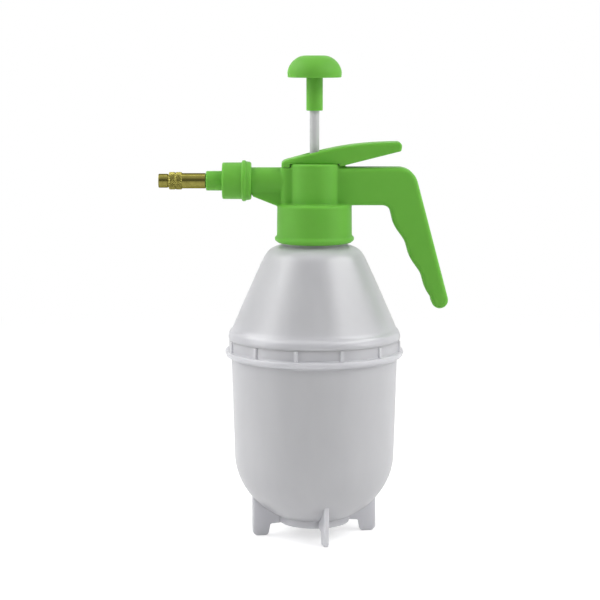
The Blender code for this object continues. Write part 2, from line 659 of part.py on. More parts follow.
def plunger():
    """Knob with its hollow dome and shank, rod, piston and its rubber cup, on the pump axis."""
    dome = bezier(
        (KNOB_FLAT_RADIUS, KNOB_TOP_Z),
        (KNOB_RADIUS - 6.8, KNOB_TOP_Z - 0.3),
        (KNOB_RADIUS - 0.8, KNOB_TOP_Z - 5.6),
        (KNOB_RADIUS, KNOB_RIM_Z + 3.7),
        6,
    )
    ceiling = KNOB_TOP_Z - 4.5
    hollow = bezier(
        (KNOB_RADIUS - KNOB_WALL, KNOB_RIM_Z),
        (KNOB_RADIUS - KNOB_WALL, KNOB_RIM_Z + 8),
        (KNOB_RADIUS - 7.3, ceiling),
        (SHANK_RADIUS + 0.6, ceiling),
        5,
    )
    socket = ROD_RADIUS + CLEARANCE
    socket_top = KNOB_RIM_Z - 5
    profile = [(0, KNOB_TOP_Z)] + dome + [(KNOB_RADIUS - 0.5, KNOB_RIM_Z)] + hollow
    profile += [(SHANK_RADIUS, ceiling - 0.7), (SHANK_RADIUS, SHANK_LOW_Z), (socket, SHANK_LOW_Z)]
    profile += [(socket, socket_top), (0, socket_top)]
    knob = paint(turned("plunger_knob", profile, steps=HEAD_STEPS), GREEN, 0.36)
    hub = ROD_RADIUS + 1.4
    pocket_low = PISTON_LOW_Z - 3.5
    bar = rod("plunger_rod", ROD_RADIUS, pocket_low + CLEARANCE, socket_top - CLEARANCE)
    paint(bar, ROD_GREY, 0.35)
    outer = CYLINDER_BORE - RUNNING_GAP
    profile = [
        (socket, PISTON_TOP_Z),
        (outer, PISTON_TOP_Z),
        (outer, PISTON_LOW_Z),
        (hub, PISTON_LOW_Z),
        (hub, HUB_LOW_Z),
        (0, HUB_LOW_Z),
        (0, pocket_low),
        (socket, pocket_low),
    ]
    piston = paint(turned("piston", profile), NATURAL, 0.4)
    cup_top = PISTON_LOW_Z - CLEARANCE
    lip = CYLINDER_BORE - CLEARANCE
    profile = [
        (hub + CLEARANCE, cup_top),
        (lip - 0.6, cup_top),
        (lip, cup_top - PISTON_CUP_HEIGHT),
        (lip - 1.4, cup_top - PISTON_CUP_HEIGHT),
        (lip - 2.6, cup_top - 2),
        (hub + CLEARANCE, cup_top - 2),
    ]
    cup = paint(turned("piston_cup", profile), RUBBER, 0.7)
    carry("pump_axis", (0, 0, SHANK_LOW_Z), knob, bar, piston, cup)


def lever_top(drop=0.0):
    """The lever's upper curve from front to rear, lowered by drop."""
    return bezier(
        (LEVER_FRONT_X + 2.2, LEVER_FRONT_TOP_Z - drop),
        (LEVER_FRONT_X + 33.8, LEVER_FRONT_TOP_Z + 8.7 - drop),
        (LEVER_REAR_X - 40.3, LEVER_REAR_TOP_Z - 0.4 - drop),
        (LEVER_REAR_X - 2.6, LEVER_REAR_TOP_Z - drop),
        10,
    )


def lever_shelf(front, inner):
    """Tongue behind the lever's front wall, slotted so that it lifts the valve stem by its head."""
    rear = -CYLINDER_RADIUS - 2
    top = SHELF_Z + SHELF_THICKNESS
    side = [(front - 0.6, SHELF_Z), (rear, SHELF_Z), (rear, top), (front - 0.6, top)]
    shelf = extruded("lever_shelf", side, -inner + CLEARANCE, inner - CLEARANCE)
    neck_room = VALVE_NECK_RADIUS + 0.6
    slot = arc(VALVE_X, 0, neck_room, 90, 270, 6) + [(0, -neck_room), (0, neck_room)]
    cut(shelf, extruded("shelf_slot", slot, SHELF_Z - 1, top + 1, along="Z"))
    return shelf


def trigger_lever():
    """Rocking lever: a channel open below, slotted for the plunger, on a pin behind the boss."""
    over_boss = BOSS_TOP_Z + RUNNING_GAP
    over_deck = DECK_Z + CLEARANCE
    inner = LEVER_HALF_WIDTH - LEVER_WALL
    boss_reach = math.sqrt(BOSS_RADIUS ** 2 - inner ** 2) + 0.6
    corner = 3.2
    rear_low_x = LEVER_REAR_X - 0.6
    under_z = LEVER_REAR_LOW_Z - LEVER_UNDER_SLOPE * (rear_low_x - boss_reach)
    outline = [(LEVER_FRONT_X, over_deck), (LEVER_FRONT_X, LEVER_FRONT_TOP_Z - 1.7)] + lever_top()
    outline += arc(LEVER_REAR_X - corner, LEVER_REAR_TOP_Z - corner, corner, 60, 0, 2)
    outline += [(rear_low_x, LEVER_REAR_LOW_Z), (boss_reach, under_z)]
    outline += [(boss_reach, over_boss), (-boss_reach, over_boss), (-boss_reach, over_deck)]
    lever = extruded("trigger_lever", outline, -LEVER_HALF_WIDTH, LEVER_HALF_WIDTH, edge=LEVER_EDGE)
    front = LEVER_FRONT_X + LEVER_WALL
    rear = rear_low_x - LEVER_WALL
    below = over_deck - 3
    ceiling = [(x, z) for x, z in lever_top(LEVER_SKIN) if front < x < rear - 3]
    hollow = [(front, below), (front, LEVER_FRONT_TOP_Z - LEVER_SKIN - 0.2)] + ceiling
    hollow += [(rear, LEVER_REAR_TOP_Z - LEVER_SKIN), (rear, below)]
    slot_reach = 2.1
    slot_radius = SHANK_RADIUS + 0.8
    slot = arc(slot_reach, 0, slot_radius, -90, 90, 8) + arc(-slot_reach, 0, slot_radius, 90, 270, 8)
    pivot = (PIVOT_X, 0, PIVOT_Z)
    pin_room = PIN_HALF_LENGTH + CLEARANCE
    cut(
        lever,
        extruded("lever_hollow", hollow, -inner, inner),
        extruded("lever_slot", slot, BOSS_TOP_Z - 3, KNOB_RIM_Z, along="Z"),
        rod("lever_pin_holes", PIN_RADIUS + CLEARANCE, -pin_room, pin_room, "Y", pivot, TINY_STEPS),
    )
    join(lever, lever_shelf(front, inner))
    paint(lever, GREEN, 0.36)
    pin = rod("lever_pin", PIN_RADIUS, -PIN_HALF_LENGTH, PIN_HALF_LENGTH, "Y", pivot, TINY_STEPS)
    paint(pin, STEEL, 0.3, 1.0)
    carry("lever_pivot", pivot, lever)


def least_gap(points, wire, apart):
    """Least clear distance between stretches of a wire that are more than apart points from each other."""
    nearest = min(
        (a - b).length
        for i, a in enumerate(points)
        for b in points[i + apart:]
    )
    return nearest - 2 * wire


def valve_spring():
    """Return spring round the stem's neck, between the upper land and the gland."""
    low = VALVE_LAND_TOP_Z + CLEARANCE + SPRING_WIRE
    high = NOTCH_Z - SPRING_WIRE
    per_turn = 9
    count = round(SPRING_TURNS * per_turn)
    points = []
    for k in range(count + 1):
        turn = math.tau * k / per_turn
        z = low + (high - low) * k / count
        points.append(Vector((VALVE_X + SPRING_RADIUS * math.cos(turn), SPRING_RADIUS * math.sin(turn), z)))
    print(f"valve_spring least gap to itself: {least_gap(points, SPRING_WIRE, per_turn - 2):.2f} mm")
    wire = bpy.data.curves.new("valve_spring", "CURVE")
    wire.dimensions = "3D"
    wire.bevel_depth = SPRING_WIRE * MM
    wire.bevel_resolution = 1
    wire.use_fill_caps = True
    path = wire.splines.new("POLY")
    path.points.add(count)
    for point, place in zip(path.points, points):
        point.co = (*(place * MM), 1)
    spring = bpy.data.objects.new("valve_spring", wire)
    bpy.context.scene.collection.objects.link(spring)
    spring.parent = ROOT
    paint(spring, STEEL, 0.3, 1.0)


def valve():
    """Stem with its two O-rings, and the gland that closes the bore above it."""
    land = VALVE_BORE - CLEARANCE
    ring_radius = land - RING_WIRE
    groove = ring_radius - RING_WIRE - CLEARANCE
    reach = RING_WIRE + CLEARANCE
    head_top = VALVE_HEAD_Z + 1
    profile = [(0, head_top), (VALVE_HEAD_RADIUS, head_top), (VALVE_HEAD_RADIUS, VALVE_HEAD_Z)]
    profile += [(VALVE_NECK_RADIUS, VALVE_HEAD_Z)]
    profile += [(VALVE_NECK_RADIUS, VALVE_LAND_TOP_Z), (land, VALVE_LAND_TOP_Z)]
    profile += [(land, UPPER_RING_Z + reach), (groove, UPPER_RING_Z + reach)]
    profile += [(groove, UPPER_RING_Z - reach), (land, UPPER_RING_Z - reach)]
    waist = PORT_RADIUS + 0.5
    profile += [(land, PORT_Z + waist), (VALVE_WAIST_RADIUS, PORT_Z + PORT_RADIUS)]
    profile += [(VALVE_WAIST_RADIUS, PORT_Z - PORT_RADIUS), (land, PORT_Z - waist)]
    profile += [(land, LOWER_RING_Z + reach), (groove, LOWER_RING_Z + reach)]
    profile += [(groove, LOWER_RING_Z - reach), (land, LOWER_RING_Z - reach)]
    profile += [(land, VALVE_LOW_Z), (0, VALVE_LOW_Z)]
    stem = paint(turned("valve_stem", profile, centre=(VALVE_X, 0, 0), steps=TINY_STEPS), NATURAL, 0.4)
    upper = o_ring("valve_upper_o_ring", ring_radius, RING_WIRE, "Z", (VALVE_X, 0, UPPER_RING_Z), TINY_STEPS)
    lower = o_ring("valve_lower_o_ring", ring_radius, RING_WIRE, "Z", (VALVE_X, 0, LOWER_RING_Z), TINY_STEPS)
    paint(upper, RUBBER, 0.7)
    paint(lower, RUBBER, 0.7)
    carry("valve_axis", (VALVE_X, 0, VALVE_LOW_Z), stem, upper, lower)
    low = NOTCH_Z + CLEARANCE
    gland = ring("valve_gland", VALVE_NECK_RADIUS + CLEARANCE, GLAND_RADIUS, low, low + GLAND_THICKNESS,
                 centre=(VALVE_X, 0, 0), steps=SMALL_STEPS)
    paint(gland, NATURAL, 0.4)


def dip_line():
    """Connector under the roof, dip tube and the strainer on its lower end."""
    top = ROOF_Z - CLEARANCE
    low = top - CONNECTOR_LENGTH
    socket = DIP_RADIUS + CLEARANCE
    place = (DIP_X, 0, 0)
    profile = [
        (DIP_BORE, top),
        (CONNECTOR_RADIUS, top),
        (CONNECTOR_RADIUS, low),
        (socket, low),
        (socket, low + SOCKET_DEPTH),
        (DIP_BORE, low + SOCKET_DEPTH),
    ]
    paint(turned("dip_tube_connector", profile, centre=place, steps=SMALL_STEPS), NATURAL, 0.4)
    tube_top = low + SOCKET_DEPTH - CLEARANCE
    reach = -DIP_X + STRAINER_RADIUS
    strainer_low = ellipse_z(reach, BOWL_RADIUS - TANK_WALL, BOWL_DEPTH - TANK_WALL) + STRAINER_GAP
    seat = strainer_low + STRAINER_SEAT
    tube = ring("dip_tube", DIP_BORE, DIP_RADIUS, seat + CLEARANCE, tube_top, centre=place, steps=TINY_STEPS)
    paint(tube, NATURAL, 0.35)
    high = strainer_low + STRAINER_HEIGHT
    floor = strainer_low + 1.6
    profile = [
        (socket, high),
        (STRAINER_RADIUS, high),
        (STRAINER_RADIUS, strainer_low),
        (0, strainer_low),
        (0, floor),
        (DIP_BORE, floor),
        (DIP_BORE, seat),
        (socket, seat),
    ]
    strainer = turned("dip_strainer", profile, centre=place, steps=SMALL_STEPS)
    slit = 0.6
    for k, direction in enumerate((0, 90)):
        wide = STRAINER_RADIUS + 1
        window = [(-wide, floor + 0.6), (wide, floor + 0.6), (wide, seat - 0.8), (-wide, seat - 0.8)]
        bar = extruded(f"strainer_slit_{k}", window, -slit, slit)
        turn = Matrix.Rotation(math.radians(direction), 4, "Z")
        bar.data.transform(Matrix.Translation(Vector(place) * MM) @ turn)
        cut(strainer, bar)
    paint(strainer, GREEN, 0.4)


def nozzle():
    """Union nut, gasket, adaptor, inner stem and the turning brass barrel with its seal."""
    axis = (0, 0, NOZZLE_AXIS_Z)
    thread = SPOUT_RADIUS + RUNNING_GAP
    ring_front = NUT_REAR_X - 7.6
    bead_rear = ring_front + 3.2
    ring_radius = NUT_RING_RADIUS - 0.7
    profile = [
        (thread, NUT_REAR_X),
        (ring_radius - 2, NUT_REAR_X),
        (ring_radius - 0.5, NUT_REAR_X - 0.8),
        (ring_radius, NUT_REAR_X - 2),
        (ring_radius, bead_rear),
        (NUT_RING_RADIUS, bead_rear - 0.5),
        (NUT_RING_RADIUS, ring_front + 0.8),
        (NUT_RADIUS, ring_front),
        (NUT_RADIUS, NUT_FRONT_X + 1),
        (NUT_RADIUS - 1, NUT_FRONT_X),
        (ADAPTOR_RADIUS + CLEARANCE, NUT_FRONT_X),
        (ADAPTOR_RADIUS + CLEARANCE, NUT_SEAT_X),
        (thread, NUT_SEAT_X),
    ]
    paint(turned("nozzle_nut", profile, "X", axis, HEAD_STEPS), GREEN, 0.36)
    flange_front = NUT_SEAT_X + CLEARANCE
    flange_radius = SPOUT_RADIUS - 0.2
    gasket_front = ADAPTOR_REAR_X + CLEARANCE
    gasket_rear = SPOUT_END_X - CLEARANCE
    gasket = ring("nozzle_gasket", SPOUT_BORE, flange_radius, gasket_front, gasket_rear, "X", axis)
    paint(gasket, RUBBER, 0.7)
    socket = STEM_RADIUS + CLEARANCE
    seat = STEM_REAR_X + CLEARANCE
    water_way = 1.9
    profile = [
        (water_way, ADAPTOR_REAR_X),
        (flange_radius, ADAPTOR_REAR_X),
        (flange_radius, flange_front),
        (ADAPTOR_RADIUS, flange_front),
        (ADAPTOR_RADIUS, ADAPTOR_FRONT_X + 0.6),
        (ADAPTOR_RADIUS - 0.6, ADAPTOR_FRONT_X),
        (socket, ADAPTOR_FRONT_X),
        (socket, seat),
        (water_way, seat),
    ]
    paint(turned("nozzle_adaptor", profile, "X", axis), GREEN, 0.36)
    cone_start = KNURL_FRONT_X + 3
    stem = [
        (1.2, STEM_REAR_X),
        (STEM_RADIUS, STEM_REAR_X),
        (STEM_RADIUS, cone_start),
        (1.0, cone_start - 5.5),
        (0, cone_start - 5.5),
        (0, cone_start + 5),
        (1.2, cone_start + 5),
    ]
    paint(turned("nozzle_stem", stem, "X", axis, SMALL_STEPS), BRASS, 0.28, 1.0)
    rear = ADAPTOR_FRONT_X - CLEARANCE
    wire = 0.8
    ring_centre = STEM_RADIUS + CLEARANCE + wire
    room = ring_centre + wire + CLEARANCE
    reach = wire + CLEARANCE
    knurl_edge = 0.6
    cone_seat = NOZZLE_TIP_X + 4.6
    profile = [
        (BARREL_BORE, rear),
        (BARREL_RADIUS - 0.4, rear),
        (BARREL_RADIUS, rear - 0.4),
        (BARREL_RADIUS, KNURL_REAR_X),
        (KNURL_RADIUS - knurl_edge, KNURL_REAR_X),
        (KNURL_RADIUS, KNURL_REAR_X - knurl_edge),
        (KNURL_RADIUS, KNURL_FRONT_X + knurl_edge),
        (KNURL_RADIUS - knurl_edge, KNURL_FRONT_X),
        (TIP_RADIUS, KNURL_FRONT_X),
        (TIP_RADIUS, NOZZLE_TIP_X + 0.5),
        (TIP_RADIUS - 0.5, NOZZLE_TIP_X),
        (ORIFICE_RADIUS + 1.1, NOZZLE_TIP_X),
        (ORIFICE_RADIUS, NOZZLE_TIP_X + 1.2),
        (ORIFICE_RADIUS, NOZZLE_TIP_X + 2),
        (BARREL_BORE, cone_seat),
        (BARREL_BORE, BARREL_RING_X - reach),
        (room, BARREL_RING_X - reach),
        (room, BARREL_RING_X + reach),
        (BARREL_BORE, BARREL_RING_X + reach),
    ]
    barrel = paint(turned("nozzle_barrel", profile, "X", axis), BRASS, 0.3, 1.0)
    seal = o_ring("nozzle_o_ring", ring_centre, wire, "X", (BARREL_RING_X, 0, NOZZLE_AXIS_Z))
    paint(seal, RUBBER, 0.7)
    carry("nozzle_axis", (BARREL_RING_X, 0, NOZZLE_AXIS_Z), barrel, seal)


clear_scene()
ROOT = bpy.data.objects.new("sprayer", None)
bpy.context.scene.collection.objects.link(ROOT)
ROOT.location = (AXIS_X * MM, 0, 0)
tank_upper_cone()
tank_lower_cup()
head_body()
pump_cylinder()
pump_fixed_parts()
plunger()
trigger_lever()
valve_spring()
valve()
dip_line()
nozzle()
bpy.context.view_layer.update()
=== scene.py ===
"""Looks of a hand pump sprayer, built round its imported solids.

Pieces are modelled in millimetres from the tank's axis, with the nozzle towards -X and +Z up.
seat() turns a finished mesh into metres and puts it in the frame.
"""

from __future__ import annotations

import json
import logging
import math
from dataclasses import dataclass, field
from enum import Enum
from typing import Callable, Mapping, Sequence

import bpy
from mathutils import Matrix, Vector
from mathutils.geometry import interpolate_bezier

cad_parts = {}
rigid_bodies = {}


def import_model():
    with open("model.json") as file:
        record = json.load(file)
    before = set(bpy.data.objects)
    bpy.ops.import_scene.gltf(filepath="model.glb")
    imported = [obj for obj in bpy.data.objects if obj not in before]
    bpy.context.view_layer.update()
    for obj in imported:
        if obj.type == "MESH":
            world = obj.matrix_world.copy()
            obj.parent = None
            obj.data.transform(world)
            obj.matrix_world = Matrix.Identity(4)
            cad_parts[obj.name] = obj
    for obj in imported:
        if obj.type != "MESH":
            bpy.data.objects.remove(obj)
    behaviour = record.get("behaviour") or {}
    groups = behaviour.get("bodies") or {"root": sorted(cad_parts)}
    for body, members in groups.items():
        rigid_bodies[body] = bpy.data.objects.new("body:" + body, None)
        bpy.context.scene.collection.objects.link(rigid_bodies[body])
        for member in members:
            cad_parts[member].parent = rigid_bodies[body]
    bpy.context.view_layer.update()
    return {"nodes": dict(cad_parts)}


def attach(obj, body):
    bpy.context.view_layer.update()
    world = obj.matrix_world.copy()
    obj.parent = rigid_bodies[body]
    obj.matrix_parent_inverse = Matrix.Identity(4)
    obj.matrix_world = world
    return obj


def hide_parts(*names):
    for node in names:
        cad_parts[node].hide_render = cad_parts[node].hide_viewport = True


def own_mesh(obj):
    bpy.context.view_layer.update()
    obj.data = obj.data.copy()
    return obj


Solid = bpy.types.Object
Tree = bpy.types.NodeTree
Socket = bpy.types.NodeSocket
Point = tuple[float, float]
Place = tuple[float, float, float]
# A point of an outline, with the radius of its rounding if it has one
Corner = tuple[float, ...]

LOG = logging.getLogger("sprayer")
MM = 0.001
WHITE = (1.0, 1.0, 1.0, 1.0)
ORIGIN: Place = (0.0, 0.0, 0.0)
TANK_AXIS_X = 8.129
NOZZLE_AXIS_Z = 271.9
NOZZLE_AXIS: Place = (0.0, 0.0, NOZZLE_AXIS_Z)
VALVE_X = -18.6
VALVE_AXIS: Place = (VALVE_X, 0.0, 0.0)
LEVER_PIVOT: Place = (19.5, 0.0, 286.0)
PIN_HOLE = 1.9
DIP_AXIS: Place = (-17.2, 0.0, 0.0)


class Axis(Enum):
    """The direction that a turned piece's axis takes, as the turn that takes +Z there."""

    X = "X"
    Y = "Y"
    Z = "Z"

    @property
    def turn(self) -> Matrix:
        """The rotation from +Z to this axis."""
        turns = {"X": (math.pi / 2, "Y"), "Y": (-math.pi / 2, "X"), "Z": (0.0, "Z")}
        angle, about = turns[self.value]
        return Matrix.Rotation(angle, 4, about)


class Mix(Enum):
    """How one solid is combined with another."""

    JOIN = "UNION"
    CUT = "DIFFERENCE"


class Body(Enum):
    """The moving bodies that carry pieces made here."""

    TANK = "tank"
    NECK_SEAL = "neck_seal"
    HEAD = "head"
    LEVER = "lever"
    PLUNGER = "plunger"
    NOZZLE_TIP = "nozzle_tip"


class Slot(Enum):
    """The record's material slots."""

    GREEN = "green_plastic"
    TANK = "tank_plastic"
    ROD = "rod_plastic"
    NATURAL = "natural_plastic"
    BRASS = "brass"
    STEEL = "steel"
    RUBBER = "rubber"


def linear(hex_colour: str) -> tuple[float, float, float, float]:
    """Turn an sRGB hex colour into linear RGBA.

    Args:
        hex_colour: six hex digits.

    Returns:
        The linear colour with full alpha.
    """
    parts = [int(hex_colour[i:i + 2], 16) / 255 for i in (0, 2, 4)]
    flat = [c / 12.92 if c <= 0.04045 else ((c + 0.055) / 1.055) ** 2.4 for c in parts]
    return flat[0], flat[1], flat[2], 1.0


def per_metre(size_mm: float) -> float:
    """Texture scale, in turns per metre, of a pattern that repeats every size_mm."""
    return 1 / (size_mm * MM)


def feed(
    tree: Tree,
    node: bpy.types.Node,
    settings: Mapping[str | int, object] | None = None,
    links: Mapping[str | int, Socket] | None = None,
) -> None:
    """Set a node's values and link its inputs.

    Args:
        tree: the node tree.
        node: the node that is set.
        settings: values by socket name, socket number or property name.
        links: sockets that feed the node, by socket name or number.
    """
    for key, value in (settings or {}).items():
        if isinstance(key, int) or key in node.inputs:
            node.inputs[key].default_value = value
        else:
            setattr(node, key, value)
    for key, source in (links or {}).items():
        tree.links.new(source, node.inputs[key])


def add_node(
    tree: Tree,
    kind: str,
    out: str | int,
    settings: Mapping[str | int, object] | None = None,
    links: Mapping[str | int, Socket] | None = None,
) -> Socket:
    """Add a shader node.

    Args:
        tree: the node tree that gets the node.
        kind: the node's type without the prefix that all of them share.
        out: name or number of the output that is used.
        settings: values, as feed() takes them.
        links: incoming links, as feed() takes them.

    Returns:
        The output.
    """
    node = tree.nodes.new("ShaderNode" + kind)
    feed(tree, node, settings, links)
    return node.outputs[out]


def noise(tree: Tree, place: Socket, size_mm: float, detail: float, roughness: float = 0.5) -> Socket:
    """Add a noise pattern of a given size."""
    settings = {"Scale": per_metre(size_mm), "Detail": detail, "Roughness": roughness}
    return add_node(tree, "TexNoise", "Fac", settings, {"Vector": place})


def remap(
    tree: Tree, value: Socket, target: Point, source: Point = (0.0, 1.0), curve: str = "LINEAR"
) -> Socket:
    """Map a value from the source range to the target range.

    Args:
        tree: the node tree.
        value: the socket that is mapped.
        target: what the ends of the source range become.
        source: the range that is mapped.
        curve: Blender's name for the way between the ends.

    Returns:
        The mapped value.
    """
    settings = {
        "interpolation_type": curve,
        "From Min": source[0],
        "From Max": source[1],
        "To Min": target[0],
        "To Max": target[1],
    }
    return add_node(tree, "MapRange", "Result", settings, {"Value": value})


def maths(tree: Tree, operation: str, first: Socket, second: Socket) -> Socket:
    """Combine two values."""
    return add_node(tree, "Math", "Value", {"operation": operation}, {0: first, 1: second})


def length(tree: Tree, vector: Socket) -> Socket:
    """Add the length of a vector."""
    return add_node(tree, "VectorMath", "Value", {"operation": "LENGTH"}, {0: vector})


def two_tone(tree: Tree, share: Socket, dark: str, light: str) -> Socket:
    """Blend two hex colours."""
    settings = {"data_type": "RGBA", 6: linear(dark), 7: linear(light)}
    return add_node(tree, "Mix", 2, settings, {0: share})


def relief(tree: Tree, height: Socket, depth_mm: float, under: Socket | None = None) -> Socket:
    """Add relief of a given depth, on top of other relief where there is some."""
    links = {"Height": height} if under is None else {"Height": height, "Normal": under}
    return add_node(tree, "Bump", "Normal", {"Strength": 1.0, "Distance": depth_mm * MM}, links)


def new_material(name: str) -> tuple[bpy.types.Material, Tree, bpy.types.Node]:
    """Make a node material.

    Args:
        name: the material's name.

    Returns:
        The material, its tree and its Principled shader.
    """
    material = bpy.data.materials.new(name)
    material.use_nodes = True
    tree = material.node_tree
    return material, tree, tree.nodes["Principled BSDF"]


@dataclass(frozen=True)
class MouldedPlastic:
    """Moulded polypropylene or acetal: satin skin, faint cloudy colour and the mould's fine grain."""

    name: str
    dark: str
    light: str
    roughness: float
    polish: Point = (-0.07, 0.09)
    cloud_mm: float = 26.0
    stretch: float = 1.0
    grain_mm: float = 0.9
    grain_depth_mm: float = 0.02
    wave_mm: float = 14.0
    wave_depth_mm: float = 0.05
    milkiness: float = 0.0
    scatter_mm: float = 4.0
    gloss: float = 0.5
    ior: float = 1.49

    def material(self) -> bpy.types.Material:
        """Build the node material.

        Returns:
            The finished material.
        """
        material, tree, shader = new_material(self.name)
        place = add_node(tree, "TexCoord", "Object")
        drawn = add_node(
            tree, "Mapping", "Vector", {"Scale": (1.0, 1.0, self.stretch)}, {"Vector": place}
        )
        cloud = noise(tree, drawn, self.cloud_mm, 3.0, 0.55)
        # Grain finer than a millimetre wouldn't show in the render, so it is drawn this coarse
        grain = noise(tree, place, self.grain_mm, 2.0)
        wave = noise(tree, place, self.wave_mm, 1.0)
        shiny, dull = self.polish
        values = {
            "IOR": self.ior,
            "Specular IOR Level": self.gloss,
            "Subsurface Weight": self.milkiness,
            "Subsurface Radius": (1.0, 1.0, 1.0),
            "Subsurface Scale": self.scatter_mm * MM,
        }
        links = {
            "Base Color": two_tone(tree, cloud, self.dark, self.light),
            "Roughness": remap(tree, cloud, (self.roughness + shiny, self.roughness + dull)),
            "Normal": relief(tree, grain, self.grain_depth_mm, relief(tree, wave, self.wave_depth_mm)),
        }
        feed(tree, shader, values, links)
        return material


@dataclass(frozen=True)
class TurnedMetal:
    """Metal off the lathe: fine rings round its axis, brighter on the lands and dull in the cuts."""

    name: str
    bright: str
    dull: str
    roughness: float
    polish: Point = (0.2, -0.04)
    ring_mm: float = 0.5
    ring_depth_mm: float = 0.012
    stain_mm: float = 5.0
    stain_range: Point = (0.3, 0.7)
    stained: float = 0.55
    axis_z_mm: float = 0.0
    cut_radius_mm: float = 0.0
    land_radius_mm: float = 0.1
    edge_tint: str = "FFFFFF"

    def material(self) -> bpy.types.Material:
        """Build the node material.

        Returns:
            The finished material.
        """
        material, tree, shader = new_material(self.name)
        place = add_node(tree, "TexCoord", "Object")
        to_axis = {"Location": (0.0, 0.0, -self.axis_z_mm * MM), "Scale": (0.0, 1.0, 1.0)}
        centred = add_node(tree, "Mapping", "Vector", to_axis, {"Vector": place})
        reach = (self.cut_radius_mm * MM, self.land_radius_mm * MM)
        height = remap(tree, length(tree, centred), (0.0, 1.0), reach)
        stain = noise(tree, place, self.stain_mm, 4.0)
        patina = remap(tree, stain, (self.stained, 1.0), self.stain_range)
        shine = maths(tree, "MULTIPLY", height, patina)
        pattern = {
            "bands_direction": "X",
            "Scale": per_metre(self.ring_mm) / math.tau,
            "Distortion": 0.4,
            "Detail": 1.0,
        }
        rings = add_node(tree, "TexWave", "Fac", pattern, {"Vector": place})
        dull, shiny = self.polish
        links = {
            "Base Color": two_tone(tree, shine, self.dull, self.bright),
            "Roughness": remap(tree, shine, (self.roughness + dull, self.roughness + shiny)),
            "Normal": relief(tree, rings, self.ring_depth_mm),
        }
        feed(tree, shader, {"Metallic": 1.0, "Specular Tint": linear(self.edge_tint)}, links)
        return material


class Palette:
    """Every finish on the sprayer, each made once."""

    def __init__(self) -> None:
        """Build the materials."""
        recipes = {
            # Injection-moulded polypropylene, pigmented through: an even satin green
            Slot.GREEN: MouldedPlastic(
                "green_polypropylene", "6BB440", "76C04A", 0.5, milkiness=0.5, scatter_mm=5.0, gloss=0.2
            ),
            # Unpigmented polypropylene: milky, lets light into its wall, softly uneven from the mould
            Slot.TANK: MouldedPlastic(
                "milky_polypropylene", "C0C0C5", "D4D4D8", 0.33, cloud_mm=38.0, stretch=0.35,
                wave_mm=22.0, wave_depth_mm=0.12, milkiness=0.9, scatter_mm=10.0, gloss=1.0
            ),
            # Drawn acetal bar: smooth and pale grey, its faint streaks run along it
            Slot.ROD: MouldedPlastic(
                "drawn_acetal", "C4C4C6", "D1D1D3", 0.32, cloud_mm=3.0, stretch=0.04, milkiness=0.1,
                gloss=0.3
            ),
            # Natural polypropylene of the pump's inner pieces
            Slot.NATURAL: MouldedPlastic(
                "natural_polypropylene", "D3D3D2", "DEDEDD", 0.36, milkiness=0.2, gloss=0.3
            ),
            # Nitrile rubber: near black and dull, with a dusty bloom
            Slot.RUBBER: MouldedPlastic(
                "nitrile_rubber", "242426", "343437", 0.68, cloud_mm=6.0, grain_mm=0.6, wave_depth_mm=0.0,
                ior=1.52
            ),
            # Free-turning brass, a little tarnished in the knurl
            Slot.BRASS: TurnedMetal(
                "turned_brass", "8C8646", "605A2A", 0.24, axis_z_mm=NOZZLE_AXIS_Z, cut_radius_mm=3.6,
                land_radius_mm=5.2, edge_tint="8C8878"
            ),
            # Bright drawn steel of the pin and the spring
            Slot.STEEL: TurnedMetal("drawn_steel", "B4B6BA", "8B8D91", 0.28),
        }
        self.finishes = {slot: recipe.material() for slot, recipe in recipes.items()}

    def dress(self, item: Solid, slot: Slot) -> None:
        """Give a piece the finish of a slot."""
        item.data.materials.clear()
        item.data.materials.append(self.finishes[slot])


def soften(corners: Sequence[Corner], per_arc: float = 12.0) -> list[Point]:
    """Round the corners of a closed outline that have a radius.

    Args:
        corners: (x, y) or (x, y, radius) in order.
        per_arc: degrees of turn for each chord of an arc.

    Returns:
        The outline's points.
    """
    outline: list[Point] = []
    count = len(corners)
    for i, (x, y, *rounding) in enumerate(corners):
        if not rounding:
            outline.append((x, y))
            continue
        radius = rounding[0]
        here = Vector((x, y))
        back = (Vector(corners[i - 1][:2]) - here).normalized()
        onward = (Vector(corners[(i + 1) % count][:2]) - here).normalized()
        half = back.angle(onward) / 2
        centre = here + (back + onward).normalized() * radius / math.sin(half)
        first = here + back * radius / math.tan(half) - centre
        last = here + onward * radius / math.tan(half) - centre
        swing = first.angle_signed(last)
        steps = max(2, math.ceil(math.degrees(abs(swing)) / per_arc))
        for k in range(steps + 1):
            spoke = Matrix.Rotation(-swing * k / steps, 2) @ first
            outline.append(tuple(centre + spoke))
    return outline


def arc(x: float, y: float, radius: float, start: float, end: float, steps: int) -> list[Point]:
    """Points along an arc, with its angles in degrees."""
    turns = [math.radians(start + (end - start) * i / steps) for i in range(steps + 1)]
    return [(x + radius * math.cos(t), y + radius * math.sin(t)) for t in turns]


def bezier(start: Point, handle: Point, far_handle: Point, end: Point, steps: int) -> list[Point]:
    """Points along a cubic curve."""
    knots = [Vector((x, y, 0.0)) for x, y in (start, handle, far_handle, end)]
    return [(p.x, p.y) for p in interpolate_bezier(*knots, steps)]


def clear_selection() -> None:
    """Leave edit mode and deselect everything."""
    if bpy.context.mode != "OBJECT":
        bpy.ops.object.mode_set(mode="OBJECT")
    bpy.ops.object.select_all(action="DESELECT")


def make_active(item: Solid) -> None:
    """Select one object alone."""
    clear_selection()
    item.select_set(True)
    bpy.context.view_layer.objects.active = item


